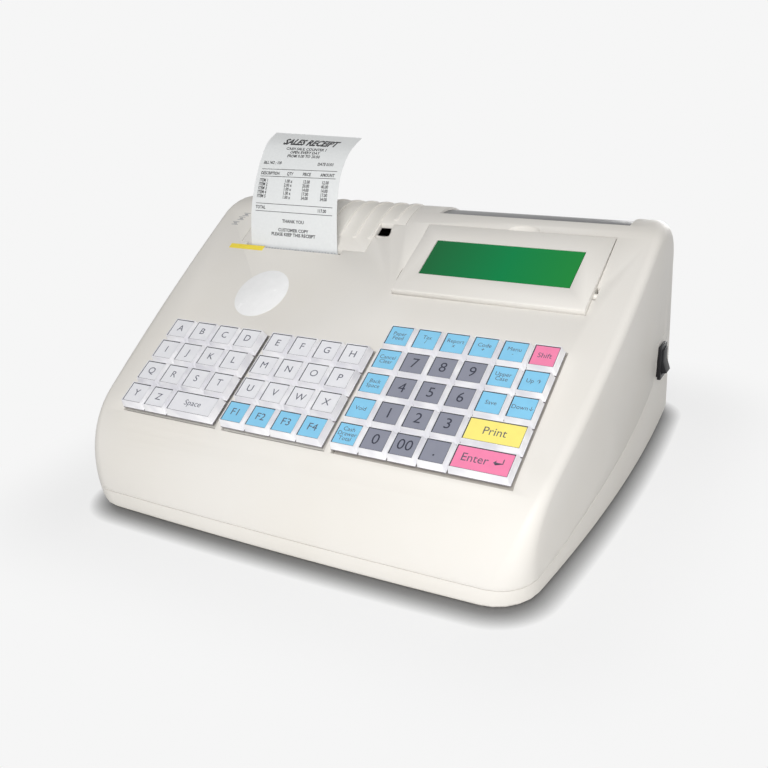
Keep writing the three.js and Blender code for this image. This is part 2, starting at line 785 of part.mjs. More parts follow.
// Paper lid: a piece of the shell over the roll, wider behind the finger notch, with ridges over the crest,
// a hinge barrel with end pins and two cheeks that carry the platen.
{
  const lidPlan = (grow, z) =>
    box(lid_left - grow, lid_right + grow, lid_front - grow, far, z, far).add(
      box(lid_left - grow, lid_wide_right + grow, lid_step - grow, far, z, far),
    );
  let lid = shell.intersect(lidPlan(0, hinge_z));
  const ridges = [];
  for (let i = 0; i < ridge_count; i++) {
    const x = ridge_first - i * ridge_pitch;
    const front = x > lid_right ? lid_step + ridge_width : ridge_front;
    ridges.push(
      box(x - ridge_width / 2, x + ridge_width / 2, front, far, hinge_z + hinge_radius, far),
    );
  }
  const band = caseSolid(-ridge_height).subtract(caseSolid(wall / 2));
  lid = lid.add(band.intersect(join(ridges)));
  lid = lid.add(rod(lid_left, lid_wide_right, hinge_y, hinge_z, hinge_radius, 40));
  lid = lid.add(
    rod(
      lid_left - hinge_pin_length,
      lid_wide_right + hinge_pin_length,
      hinge_y,
      hinge_z,
      hinge_pin_radius,
    ),
  );
  const fill = caseSolid(wall / 2);
  for (const x of [cheek_left, cheek_right]) {
    const web = box(
      x,
      x + cheek_thickness,
      platen_y - cheek_radius,
      platen_y + cheek_radius,
      platen_z,
      far,
    ).intersect(fill);
    lid = lid.add(web).add(rod(x, x + cheek_thickness, platen_y, platen_z, cheek_radius));
  }
  lid = lid.subtract(
    rod(
      cheek_left - cheek_thickness,
      cheek_right + 2 * cheek_thickness,
      platen_y,
      platen_z,
      shaft_radius + run_gap,
    ),
  );
  piece("paper_lid", lid, "ivory");

  // Top cover: the shell above the seam, with the wells, the lid opening, the paper slot, the finger
  // notch, the display pocket and the customer window cut in it.
  const pocket = (grow, low, high) =>
    deckBox(
      panel_left - pocket_gap - grow,
      panel_right + pocket_gap + grow,
      panel_front - pocket_front_gap - grow,
      panel_rear + pocket_gap + grow,
      low,
      high,
    );
  const tub = pocket(wall, -pocket_depth - wall, -wall / 2);
  let cover = shell
    .subtract(below(seat_gap / 2))
    .subtract(switchTab(seat_gap))
    .add(tub)
    .subtract(pocket(0, -pocket_depth, far));
  for (const [x0, x1, s0, s1] of [number_well, middle_well, left_well]) {
    cover = cover.subtract(deckBox(x0, x1, s0, s1, board_top, key_height));
  }
  cover = cover.subtract(lidPlan(lid_gap, lid_low));
  cover = cover.subtract(
    box(slot_left, slot_right, slot_front, lid_front, deckHeight(slot_front) - 3 * wall, far),
  );
  cover = cover.subtract(
    box(
      lid_right,
      lid_right + lid_gap + notch_width,
      notch_front,
      lid_step,
      deckHeight(notch_front) - 3 * wall,
      far,
    ),
  );
  // Pivot bores in the pocket's side walls, each with a notch above it that shows the pivot.
  const [pivot_y, pivot_z] = deckPoint(pivot_s, -pivot_drop);
  const bore_reach = pocket_gap + wall + seat_gap;
  const notch_reach = pocket_gap + pivot_notch_width;
  for (const [edge, side] of [[panel_left, -1], [panel_right, 1]]) {
    const ends = (reach) => [Math.min(edge, edge + side * reach), Math.max(edge, edge + side * reach)];
    cover = cover
      .subtract(rod(...ends(bore_reach), pivot_y, pivot_z, pivot_radius + run_gap))
      .subtract(
        deckBox(
          ...ends(notch_reach),
          pivot_s - pivot_notch_length / 2,
          pivot_s + pivot_notch_length / 2,
          -pivot_notch_depth,
          key_height,
        ),
      );
  }
  // Finger scoops: a shallow hollow behind the display panel, and one that leads into the lid's notch.
  const hollow = (x, s, half_width, half_length, depth) => {
    const g = new THREE.SphereGeometry(1, 20, 12);
    g.scale(half_width, half_length, depth);
    g.translate(x, s, 0);
    return solid(ontoDeck(g));
  };
  cover = cover
    .subtract(hollow(scoop_x, panel_rear + pocket_gap, scoop_half_width, scoop_half_length, scoop_depth))
    .subtract(
      hollow(
        lid_right + lid_gap + notch_width / 2,
        notch_front / Math.cos(tilt),
        notch_scoop_half_width,
        notch_scoop_half_length,
        notch_scoop_depth,
      ),
    );
  cover = cover.subtract(
    box(
      customer_left - seat_gap,
      customer_right + seat_gap,
      customer_front - seat_gap,
      far,
      customer_low - seat_gap,
      far,
    ),
  );
  // Lugs inside the shell that take the lid's hinge pins.
  for (const [x0, x1] of [
    [lid_left - lid_gap - lug_thickness, lid_left - lid_gap],
    [lid_wide_right + lid_gap, lid_wide_right + lid_gap + lug_thickness],
  ]) {
    const lug = box(
      x0,
      x1,
      hinge_y - lug_reach,
      far,
      hinge_z - lug_reach,
      hinge_z + lug_reach,
    ).intersect(caseSolid(wall / 2));
    cover = cover
      .add(lug)
      .subtract(rod(x0 - lug_thickness, x1 + lug_thickness, hinge_y, hinge_z, hinge_pin_radius + run_gap));
  }
  // Screw posts that come down to the base's bosses.
  const room = caseSolid(wall / 2);
  for (const [x, y] of [
    [boss_front_x, boss_front_y],
    [-boss_front_x, boss_front_y],
    [boss_rear_x, boss_rear_y],
    [-boss_rear_x, boss_rear_y],
  ]) {
    cover = cover.add(post(x, y, boss_top + seat_gap, case_top, boss_radius).intersect(room));
  }
  piece("top_cover", cover, "ivory");
}

// Base tray: the shell below the seam, raised round the switch, with board posts, bosses, foot recesses
// and the two rear socket openings.
const rearWall = (z) => rear_foot - z * Math.tan(lean);
const socket_low = board_height + board_thickness + seat_gap;
{
  let base = shell.intersect(below(-seat_gap / 2).add(switchTab(0)));
  const room = caseSolid(wall / 2);
  for (const x of [board_left + board_post_inset, board_right - board_post_inset]) {
    for (const y of [board_front + board_post_inset, board_rear - board_post_inset]) {
      base = base.add(post(x, y, wall / 2, board_height - seat_gap, board_post_radius));
    }
  }
  for (const [x, y] of [
    [boss_front_x, boss_front_y],
    [-boss_front_x, boss_front_y],
    [boss_rear_x, boss_rear_y],
    [-boss_rear_x, boss_rear_y],
  ]) {
    base = base.add(post(x, y, wall / 2, boss_top, boss_radius).intersect(room));
  }
  for (const x of [-foot_x, foot_x]) {
    for (const y of [foot_front, foot_rear]) {
      base = base.subtract(post(x, y, -foot_height, foot_recess, foot_radius + seat_gap, 32));
    }
  }
  base = base.subtract(
    box(
      jack_x - jack_width / 2 - seat_gap,
      jack_x + jack_width / 2 + seat_gap,
      board_rear,
      far,
      socket_low - seat_gap,
      socket_low + jack_height + seat_gap,
    ),
  );
  base = base.subtract(
    box(
      drawer_x - drawer_width / 2 - seat_gap,
      drawer_x + drawer_width / 2 + seat_gap,
      board_rear,
      far,
      socket_low - seat_gap,
      socket_low + drawer_height + seat_gap,
    ),
  );
  base = base.subtract(
    box(
      switch_face,
      far,
      switch_y - switch_flange_width / 2 - seat_gap,
      switch_y + switch_flange_width / 2 + seat_gap,
      switch_z - switch_flange_height / 2 - seat_gap,
      switch_z + switch_flange_height / 2 + seat_gap,
    ),
  );
  base = base.subtract(
    box(
      case_half_width / 2,
      far,
      switch_y - switch_neck_width / 2 - seat_gap,
      switch_y + switch_neck_width / 2 + seat_gap,
      switch_z - switch_neck_height / 2 - seat_gap,
      switch_z + switch_neck_height / 2 + seat_gap,
    ),
  );
  piece("base_tray", base, "ivory_base");
}

// An involute gear outline with thinned teeth, first tooth at the given angle.
function gearOutline(y, z, teeth, first) {
  const pressure = rad(20);
  const pitch_radius = (gear_module * teeth) / 2;
  const base_radius = pitch_radius * Math.cos(pressure);
  const tip = pitch_radius + 0.92 * gear_module;
  const root = pitch_radius - 1.2 * gear_module;
  const inv = (a) => Math.tan(a) - a;
  const thin = 0.05 * ((2 * Math.PI) / teeth);
  const halfAngle = (radius) => {
    const r = Math.max(radius, base_radius);
    return Math.PI / (2 * teeth) + inv(pressure) - inv(Math.acos(base_radius / r)) - thin;
  };
  const out = [];
  for (let i = 0; i < teeth; i++) {
    const middle = first + (2 * Math.PI * i) / teeth;
    const radii = [root, Math.max(base_radius, root), pitch_radius, tip];
    for (const r of radii) {
      const a = middle - halfAngle(r);
      out.push([y + r * Math.cos(a), z + r * Math.sin(a)]);
    }
    for (const r of [...radii].reverse()) {
      const a = middle + halfAngle(r);
      out.push([y + r * Math.cos(a), z + r * Math.sin(a)]);
    }
  }
  return out.filter((p, i) => {
    const q = out[(i + 1) % out.length];
    return Math.hypot(p[0] - q[0], p[1] - q[1]) > 0.001 * gear_module;
  });
}

// Gear train: platen gear above, idler under it, motor pinion in front and below.
const idler_angle = rad(-97.5);
const pinion_angle = rad(-127);
const reach_one = (gear_module * (platen_teeth + idler_teeth)) / 2 + gear_mesh_gap;
const reach_two = (gear_module * (idler_teeth + pinion_teeth)) / 2 + gear_mesh_gap;
const idler_y = platen_y + reach_one * Math.cos(idler_angle);
const idler_z = platen_z + reach_one * Math.sin(idler_angle);
const pinion_y = idler_y + reach_two * Math.cos(pinion_angle);
const pinion_z = idler_z + reach_two * Math.sin(pinion_angle);
const idler_pitch = (2 * Math.PI) / idler_teeth;
const idler_first = idler_angle + Math.PI + idler_pitch / 2;
const phase = (pinion_angle - idler_first) / idler_pitch;
const phase_share = phase - Math.floor(phase);
const pinion_first = pinion_angle + Math.PI - (0.5 - phase_share) * ((2 * Math.PI) / pinion_teeth);
const shaft_left = cheek_left - cheek_gap;
piece(
  "platen_roller",
  rod(paper_middle - roller_half, paper_middle + roller_half, platen_y, platen_z, platen_radius, 40).subtract(
    rod(cheek_left, cheek_right, platen_y, platen_z, shaft_radius + run_gap),
  ),
  "rubber",
);
piece(
  "platen_shaft",
  rod(shaft_left, gear_right + cheek_gap, platen_y, platen_z, shaft_radius),
  "steel",
);
piece(
  "platen_gear",
  prism(gearOutline(platen_y, platen_z, platen_teeth, idler_angle), gear_left, gear_right).subtract(
    rod(gear_left - gear_width, gear_right + gear_width, platen_y, platen_z, shaft_radius + run_gap),
  ),
  "nylon",
);
piece(
  "idler_gear",
  prism(gearOutline(idler_y, idler_z, idler_teeth, idler_first), gear_left, gear_right).subtract(
    rod(gear_left - gear_width, gear_right + gear_width, idler_y, idler_z, idler_stud_radius + run_gap, 24),
  ),
  "nylon",
);
const motor_right = cheek_right - seat_gap;
const motor_left = motor_right - motor_length;
piece(
  "motor_pinion",
  prism(gearOutline(pinion_y, pinion_z, pinion_teeth, pinion_first), gear_left, gear_right).add(
    rod(half(motor_left, motor_right), gear_right, pinion_y, pinion_z, motor_shaft_radius, 16),
  ),
  "nylon",
);
piece(
  "stepper_motor",
  rod(motor_left, motor_right, pinion_y, pinion_z, motor_radius, 40)
    .add(rod(half(motor_left, motor_right), cheek_right + cheek_thickness, pinion_y, pinion_z, motor_boss_radius, 24))
    .subtract(
      rod(
        half(motor_left, motor_right) - cheek_gap,
        gear_right,
        pinion_y,
        pinion_z,
        motor_shaft_radius + run_gap,
        16,
      ),
    ),
  "steel",
);

// Print head: a plate in front of the platen with a ceramic line heater along its rear face.
const head_rear = platen_y - platen_radius - paper_thickness - head_nip;
const head_front = head_rear - head_thickness;
const head_left = paper_middle - roller_half;
const head_right = paper_middle + roller_half;
piece(
  "print_head",
  box(head_left, head_right, head_front, head_rear - head_thickness / 3, platen_z - head_bottom, platen_z + head_top)
    .add(
      box(
        head_left + cheek_gap,
        head_right - cheek_gap,
        head_front,
        head_rear,
        platen_z - head_bottom / 2,
        platen_z + head_top / 2,
      ),
    ),
  "black",
);

// Printer frame: two side plates down to the floor, a bridge that backs the head and a foot plate.
const plate_front = platen_y - frame_plate_front;
const bucket_front = roll_back - roll_radius - seat_gap;
const plate_rear = bucket_front - seat_gap;
const plate_top = platen_z - frame_plate_top;
const floor_top = wall + seat_gap;
const bridge_rear = head_front - seat_gap;
{
  const plate = (x) => box(x, x + cheek_thickness, plate_front, plate_rear, floor_top, plate_top);
  const bridge_low = pinion_z + motor_radius + 2 * seat_gap;
  let frame = plate(cheek_left)
    .add(plate(cheek_right))
    .add(
      box(
        cheek_left,
        cheek_right + cheek_thickness,
        bridge_rear - bridge_thickness,
        bridge_rear,
        bridge_low,
        Math.max(bridge_low + bridge_height / 2, plate_top),
      ),
    )
    .add(
      box(
        cheek_left,
        cheek_right + cheek_thickness,
        plate_front,
        plate_rear,
        floor_top,
        floor_top + foot_plate_thickness,
      ),
    )
    .subtract(
      rod(
        cheek_right - cheek_thickness,
        gear_left,
        pinion_y,
        pinion_z,
        motor_boss_radius + seat_gap,
        24,
      ),
    );
  frame = frame.add(
    rod(cheek_right, gear_right + cheek_gap, idler_y, idler_z, idler_stud_radius, 24),
  );
  piece("printer_frame", frame, "steel");
}

// Tear bar: a thin serrated strip at the front of the slot.
{
  const rear = slot_front + seat_gap + tear_thickness;
  const low = platen_z + head_top + seat_gap;
  const high = deckHeight(rear) - tear_tooth;
  const left = head_left + cheek_gap;
  const teeth = Math.round((head_right - left - cheek_gap) / tear_pitch);
  const step = (head_right - left - cheek_gap) / teeth;
  const points = [new THREE.Vector2(left + teeth * step, low), new THREE.Vector2(left, low)];
  points.push(new THREE.Vector2(left, high));
  for (let i = 0; i < teeth; i++) {
    points.push(new THREE.Vector2(left + (i + 0.5) * step, high + tear_tooth));
    points.push(new THREE.Vector2(left + (i + 1) * step, high));
  }
  const g = new THREE.ExtrudeGeometry(new THREE.Shape(points), {
    depth: tear_thickness,
    bevelEnabled: false,
  });
  g.rotateX(Math.PI / 2);
  g.translate(0, rear, 0);
  piece("tear_bar", solid(g), "steel");
}

// Paper roll, its bucket with end walls on legs, and the printed strip.
const roll_left = paper_middle - paper_width / 2;
const roll_right = paper_middle + paper_width / 2;
piece(
  "paper_roll",
  rod(roll_left, roll_right, roll_back, roll_height, roll_radius, 56).subtract(
    rod(roll_left - roll_radius, roll_right + roll_radius, roll_back, roll_height, roll_core_radius, 24),
  ),
  "paper",
);
{
  const inside = roll_radius + bucket_gap;
  const outside = inside + bucket_thickness;
  const overlap = cheek_thickness / 2;
  let bucket = prism(
    disc(roll_back, roll_height, outside, 48),
    cheek_left + overlap,
    cheek_right + overlap,
  )
    .subtract(prism(disc(roll_back, roll_height, inside, 48), cheek_left, cheek_right + 2 * overlap))
    .intersect(box(cheek_left, cheek_right + 2 * overlap, 0, far, 0, roll_height - bucket_lip));
  for (const x of [cheek_left, cheek_right]) {
    const end = prism(disc(roll_back, roll_height, outside + overlap, 48), x, x + cheek_thickness)
      .intersect(box(x, x + cheek_thickness, bucket_front, far, 0, roll_height + bucket_rise))
      .add(
        box(
          x,
          x + cheek_thickness,
          bucket_front + bucket_thickness,
          bucket_front + bucket_leg,
          floor_top,
          roll_height,
        ),
      );
    bucket = bucket.add(end);
  }
  piece("paper_bucket", bucket, "black");
}
{
  const wrap = platen_radius + head_nip / 2 + paper_thickness / 2;
  const lay = roll_radius + seat_gap + paper_thickness / 2;
  const [dy, dz] = [roll_back - platen_y, roll_height - platen_z];
  const toward = Math.atan2(dz, dy) - Math.acos((wrap - lay) / Math.hypot(dy, dz));
  const path = [[roll_back + lay * Math.cos(toward), roll_height + lay * Math.sin(toward)]];
  const turn = toward + 2 * Math.PI;
  const wrap_steps = 6;
  for (let i = 0; i <= wrap_steps; i++) {
    const a = turn + ((Math.PI - turn) * i) / wrap_steps;
    path.push([platen_y + wrap * Math.cos(a), platen_z + wrap * Math.sin(a)]);
  }
  const mouth_y = half(slot_front + seat_gap + tear_thickness, lid_front) - paper_thickness;
  const mouth_z = deckHeight(mouth_y);
  const shares = [
    [0, 0],
    [0.05, 0.21],
    [0.12, 0.41],
    [0.25, 0.61],
    [0.42, 0.775],
    [0.665, 0.91],
    [1, 1],
  ];
  const curve = new THREE.CatmullRomCurve3(
    shares.map(([y, z]) => new THREE.Vector3(mouth_y + y * receipt_reach, mouth_z + z * receipt_rise, 0)),
  );
  for (const p of curve.getPoints(24)) path.push([p.x, p.y]);
  const sides = [[], []];
  path.forEach(([y, z], i) => {
    const [ay, az] = path[Math.max(0, i - 1)];
    const [by, bz] = path[Math.min(path.length - 1, i + 1)];
    const length = Math.hypot(by - ay, bz - az);
    const [ny, nz] = [-(bz - az) / length, (by - ay) / length];
    const t = paper_thickness / 2;
    sides[0].push([y + ny * t, z + nz * t]);
    sides[1].push([y - ny * t, z - nz * t]);
  });
  piece("receipt_paper", prism([...sides[0], ...sides[1].reverse()], roll_left, roll_right), "paper");
}

// Display panel: a shallow housing, proud at its front, with side pivots near its front edge.
{
  const topAt = (s) =>
    panel_proud +
    ((panel_rear_proud - panel_proud) * (s - panel_front)) / (panel_rear - panel_front);
  const side = [
    [panel_front, topAt(panel_front) - panel_depth],
    [panel_rear - panel_undercut, panel_rear_proud - panel_depth],
    [panel_rear, panel_rear_proud],
    [panel_front + panel_round, topAt(panel_front + panel_round)],
    [panel_front + panel_round / 3, topAt(panel_front) - panel_round / 3],
    [panel_front, topAt(panel_front) - panel_round],
  ];
  const slab = (drop_top, drop_low, s0, s1, x0, x1) =>
    prism(
      [
        deckPoint(s0, topAt(s0) - drop_low),
        deckPoint(s1, topAt(s1) - drop_low),
        deckPoint(s1, topAt(s1) - drop_top),
        deckPoint(s0, topAt(s0) - drop_top),
      ],
      x0,
      x1,
    );
  const [pivot_y, pivot_z] = deckPoint(pivot_s, -pivot_drop);
  let bezel = prism(
    side.map(([s, n]) => deckPoint(s, n)),
    panel_left,
    panel_right,
  );
  bezel = bezel.subtract(
    slab(
      panel_wall,
      2 * panel_depth,
      panel_front + panel_wall,
      panel_rear - panel_wall - panel_undercut,
      panel_left + panel_wall,
      panel_right - panel_wall,
    ),
  );
  bezel = bezel.subtract(
    slab(-panel_wall, 2 * panel_wall, window_front, window_rear, window_left, window_right),
  );
  bezel = bezel
    .add(rod(panel_left - pivot_length, panel_left + panel_wall, pivot_y, pivot_z, pivot_radius))
    .add(rod(panel_right - panel_wall, panel_right + pivot_length, pivot_y, pivot_z, pivot_radius));
  piece("display_bezel", bezel, "ivory");
  piece(
    "display_lens",
    slab(
      lens_drop,
      lens_drop + lens_thickness,
      window_front + seat_gap,
      window_rear - seat_gap,
      window_left + seat_gap,
      window_right - seat_gap,
    ),
    "green",
  );
  const under = panel_wall + seat_gap;
  piece(
    "display_module",
    slab(
      under,
      under + module_thickness,
      window_front - module_margin,
      window_rear + module_margin,
      window_left - module_margin,
      window_right + module_margin,
    ),
    "board",
  );
}

// Customer window, a strip of smoked shell over the crest, and the display board that faces it.
{
  const strip = caseSolid(customer_drop).subtract(caseSolid(customer_drop + customer_thickness));
  piece(
    "customer_window",
    strip.intersect(
      box(customer_left, customer_right, customer_front, far, customer_low, far),
    ),
    "smoke",
  );
  const reach = crest_radius - customer_drop - customer_thickness - customer_board_gap;
  const g = new THREE.BoxGeometry(
    customer_right - customer_left - 2 * customer_board_margin,
    customer_board_length,
    customer_board_thickness,
  );
  g.translate(half(customer_left, customer_right), 0, reach - customer_board_thickness / 2);
  g.rotateX(rad(customer_facing_deg) - Math.PI / 2);
  g.translate(0, crest_y, crest_z);
  piece("customer_display", solid(g), "board");
}

// Rocker switch in the right wall: body with flange and a rocker on side pins, its lower half out.
{
  const flange_back = switch_face + seat_gap;
  const flange_front = flange_back + switch_flange_thickness;
  const axis_x = flange_back - rocker_axis_depth;
  const mouth_y = rocker_width / 2 + rocker_slack;
  const mouth_z = rocker_height / 2 + 2 * rocker_slack;
  const slab = (x0, x1, wide, high) =>
    box(x0, x1, switch_y - wide, switch_y + wide, switch_z - high, switch_z + high);
  const pin = (radius, length) => {
    const g = new THREE.CylinderGeometry(radius, radius, 2 * length, 16);
    g.translate(axis_x, switch_y, switch_z);
    return solid(g);
  };
  const body = slab(flange_back, flange_front, switch_flange_width / 2, switch_flange_height / 2)
    .add(
      slab(
        flange_back - switch_neck_depth,
        half(flange_back, flange_front),
        switch_neck_width / 2,
        switch_neck_height / 2,
      ),
    )
    .subtract(slab(axis_x - rocker_height / 6, far, mouth_y, mouth_z))
    .subtract(pin(rocker_pin_radius + run_gap, rocker_width / 2 + rocker_pin_length + run_gap));
  piece("switch_body", body, "black");
  const tall = rocker_height / 2;
  const outline = [
    [-rocker_in, -tall],
    [rocker_out, -tall],
    [rocker_out - rocker_dip, 0],
    [rocker_out, tall],
    [-rocker_in, tall],
  ];
  const shape = new THREE.Shape(outline.map(([x, z]) => new THREE.Vector2(x, z)));
  const g = new THREE.ExtrudeGeometry(shape, { depth: rocker_width, bevelEnabled: false });
  g.translate(0, 0, -rocker_width / 2);
  g.rotateX(Math.PI / 2);
  g.rotateY(-rad(rocker_lean_deg));
  g.translate(axis_x, switch_y, switch_z);
  const rocker = solid(g).add(pin(rocker_pin_radius, rocker_width / 2 + rocker_pin_length));
  piece("power_rocker", rocker, "black");
}

// Main board on its posts, with a processor and a capacitor on it.
{
  const top = board_height + board_thickness;
  const middle_y = half(board_front, board_rear);
  const chip_x = half(board_left, board_right);
  const board = box(board_left, board_right, board_front, board_rear, board_height, top)
    .add(
      box(
        chip_x - chip_size / 2,
        chip_x + chip_size / 2,
        middle_y - chip_size / 2,
        middle_y + chip_size / 2,
        half(board_height, top),
        top + chip_height,
      ),
    )
    .add(
      post(
        board_right - 3 * capacitor_radius,
        board_front + 3 * capacitor_radius,
        half(board_height, top),
        top + capacitor_height,
        capacitor_radius,
      ),
    );
  piece("main_board", board, "board");
}

// Power inlet and drawer socket at the rear edge of the board, reaching through the rear wall.
{
  const jack_rear = rearWall(socket_low + jack_height / 2) + socket_proud;
  const jack_mid = socket_low + jack_height / 2;
  const along = (radius, y0, y1) => {
    const g = new THREE.CylinderGeometry(radius, radius, y1 - y0, 20);
    g.translate(jack_x, half(y0, y1), jack_mid);
    return solid(g);
  };
  const jack = box(
    jack_x - jack_width / 2,
    jack_x + jack_width / 2,
    jack_rear - jack_length,
    jack_rear,
    socket_low,
    socket_low + jack_height,
  )
    .subtract(along(jack_bore, jack_rear - jack_bore_depth, jack_rear + jack_bore))
    .add(along(jack_pin_radius, jack_rear - jack_bore_depth - jack_pin_radius, jack_rear - jack_bore / 2));
  piece("dc_jack", jack, "black");
  const drawer_rear = rearWall(socket_low + drawer_height / 2) + socket_proud;
  const drawer_mid = socket_low + drawer_height / 2;
  const drawer = box(
    drawer_x - drawer_width / 2,
    drawer_x + drawer_width / 2,
    drawer_rear - drawer_length,
    drawer_rear,
    socket_low,
    socket_low + drawer_height,
  ).subtract(
    box(
      drawer_x - drawer_mouth_width / 2,
      drawer_x + drawer_mouth_width / 2,
      drawer_rear - drawer_mouth_depth,
      far,
      drawer_mid - drawer_mouth_height / 2,
      drawer_mid + drawer_mouth_height / 2,
    ),
  );
  piece("drawer_socket", drawer, "black");
}

// Four rubber feet in their recesses.
for (const [side, x] of [["left", -foot_x], ["right", foot_x]]) {
  for (const [end, y] of [["front", foot_front], ["rear", foot_rear]]) {
    const foot = post(x, y, -foot_height, foot_recess - seat_gap, foot_radius, 32);
    piece(`foot_${end}_${side}`, foot, "rubber");
  }
}

// The group's frame: the middle of the depth at zero in y, the feet's underside at zero in z.
const extent = new THREE.Box3().setFromObject(group);
group.position.set(0, -half(extent.min.y, extent.max.y), -extent.min.z);

export default group;
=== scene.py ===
import math
import bpy
from mathutils import Matrix, Vector


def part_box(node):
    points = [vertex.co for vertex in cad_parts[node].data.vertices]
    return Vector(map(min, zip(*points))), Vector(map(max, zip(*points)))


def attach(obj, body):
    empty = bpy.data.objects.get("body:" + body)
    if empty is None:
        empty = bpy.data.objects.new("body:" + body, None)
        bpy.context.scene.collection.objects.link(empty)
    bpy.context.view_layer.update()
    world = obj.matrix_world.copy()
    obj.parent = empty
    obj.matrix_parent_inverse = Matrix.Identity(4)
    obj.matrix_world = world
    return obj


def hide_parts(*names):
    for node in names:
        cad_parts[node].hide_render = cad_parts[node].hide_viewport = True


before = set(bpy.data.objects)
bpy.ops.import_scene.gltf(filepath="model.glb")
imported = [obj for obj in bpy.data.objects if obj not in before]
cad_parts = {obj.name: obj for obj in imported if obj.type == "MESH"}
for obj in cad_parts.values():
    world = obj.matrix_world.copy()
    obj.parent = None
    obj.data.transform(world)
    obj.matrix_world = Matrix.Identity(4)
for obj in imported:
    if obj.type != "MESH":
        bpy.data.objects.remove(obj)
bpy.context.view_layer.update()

# Ivory case: top cover, base tray, paper lid and display bezel.
# Injection-moulded ABS, 2.5 mm thick, satin outside from a fine spark-eroded mould, a little yellowed.
# The cover is screwed to the tray from below, and the lid and the bezel turn on pins moulded on them.
MM = 0.001
IVORY = (0.785, 0.76, 0.718)
IVORY_AGED = (0.768, 0.738, 0.685)
IVORY_ROUGHNESS = 0.47
# The tray's own ivory is lightened to about the cover's tone, as painted light that lifts the shade on its
# low band near the floor.
TRAY_IVORY_LIGHTENED = (0.79, 0.762, 0.715)
TRAY_AGED_LIGHTENED = (0.77, 0.74, 0.685)
TRAY_ROUGHNESS = 0.44
MOULD_REFLECTION = 0.25
MOULD_ROUGHNESS_SPREAD = 0.05
PATCH_SIZE = 60 * MM
PATCH_STOPS = (0.35, 0.7)
GRAIN_SIZE = 0.45 * MM
GRAIN_DEPTH = 0.012 * MM
GRAIN_STRENGTH = 0.5
COVER_EDGE = 0.3 * MM
TRAY_EDGE = 0.25 * MM
LID_EDGE = 0.25 * MM
BEZEL_EDGE = 0.5 * MM
WELD_DISTANCE = 0.002 * MM
FLAT_ANGLE = math.radians(0.4)
SHARP_ANGLE = math.radians(40)
SMOOTH_ANGLE = math.radians(28)


def new_material(name):
    """A node material with its node tree and its surface shader."""
    material = bpy.data.materials.new(name)
    material.use_nodes = True
    return material, material.node_tree, material.node_tree.nodes["Principled BSDF"]


def noise(tree, place, size, detail):
    """Noise whose cells have about the given size."""
    texture = tree.nodes.new("ShaderNodeTexNoise")
    texture.inputs["Scale"].default_value = 1 / size
    texture.inputs["Detail"].default_value = detail
    tree.links.new(place, texture.inputs["Vector"])
    return texture.outputs["Fac"]


def colour_by(tree, source, surface, *stops):
    """Colours the surface by a source that runs through stops, each a position and a tone."""
    ramp = tree.nodes.new("ShaderNodeValToRGB")
    elements = ramp.color_ramp.elements
    for element, (position, tone) in zip(elements, (stops[0], stops[-1])):
        element.position = position
        element.color = (*tone, 1)
    for position, tone in stops[1:-1]:
        elements.new(position).color = (*tone, 1)
    tree.links.new(source, ramp.inputs["Fac"])
    tree.links.new(ramp.outputs["Color"], surface.inputs["Base Color"])


def uneven_gloss(tree, source, surface, roughness, spread):
    """Roughness that wanders on both sides of its value with the source."""
    rub = tree.nodes.new("ShaderNodeMapRange")
    rub.inputs["To Min"].default_value = roughness - spread
    rub.inputs["To Max"].default_value = roughness + spread
    tree.links.new(source, rub.inputs["Value"])
    tree.links.new(rub.outputs["Result"], surface.inputs["Roughness"])


def fine_relief(tree, source, surface, strength, depth):
    """A bump of the given depth that follows the source."""
    bump = tree.nodes.new("ShaderNodeBump")
    bump.inputs["Strength"].default_value = strength
    bump.inputs["Distance"].default_value = depth
    tree.links.new(source, bump.inputs["Height"])
    tree.links.new(bump.outputs["Normal"], surface.inputs["Normal"])


def moulded_plastic(name, fresh, aged, roughness):
    """Plastic as it comes from a textured mould: two close tones in wide patches, and a fine grain."""
    plastic, tree, surface = new_material(name)
    surface.inputs["Specular IOR Level"].default_value = MOULD_REFLECTION
    place = tree.nodes.new("ShaderNodeTexCoord").outputs["Object"]
    patches = noise(tree, place, PATCH_SIZE, detail=3)
    colour_by(tree, patches, surface, *zip(PATCH_STOPS, (fresh, aged)))
    uneven_gloss(tree, patches, surface, roughness, MOULD_ROUGHNESS_SPREAD)
    grain = noise(tree, place, GRAIN_SIZE, detail=1)
    fine_relief(tree, grain, surface, GRAIN_STRENGTH, GRAIN_DEPTH)
    return plastic


def only(piece):
    """Makes this piece the only one selected, and the active one."""
    bpy.ops.object.select_all(action="DESELECT")
    piece.select_set(True)
    bpy.context.view_layer.objects.active = piece


def round_edges(piece, radius, sharp=SHARP_ANGLE, segments=2):
    """Rounds the active piece's edges that are sharper than an angle."""
    bevel = piece.modifiers.new("edge radius", "BEVEL")
    bevel.width = radius
    bevel.segments = segments
    bevel.limit_method = "ANGLE"
    bevel.angle_limit = sharp
    bpy.ops.object.modifier_apply(modifier=bevel.name)


def finished_moulding(node, name, edge, material, body):
    """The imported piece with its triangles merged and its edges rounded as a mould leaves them."""
    piece = bpy.data.objects.new(name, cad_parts[node].data.copy())
    bpy.context.collection.objects.link(piece)
    only(piece)
    bpy.ops.mesh.customdata_custom_splitnormals_clear()
    bpy.ops.object.mode_set(mode="EDIT")
    bpy.ops.mesh.select_all(action="SELECT")
    bpy.ops.mesh.remove_doubles(threshold=WELD_DISTANCE)
    bpy.ops.mesh.dissolve_limited(angle_limit=FLAT_ANGLE)
    bpy.ops.object.mode_set(mode="OBJECT")
    round_edges(piece, edge)
    bpy.ops.object.shade_smooth_by_angle(angle=SMOOTH_ANGLE)
    piece.data.materials.clear()
    piece.data.materials.append(material)
    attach(piece, body)
    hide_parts(node)


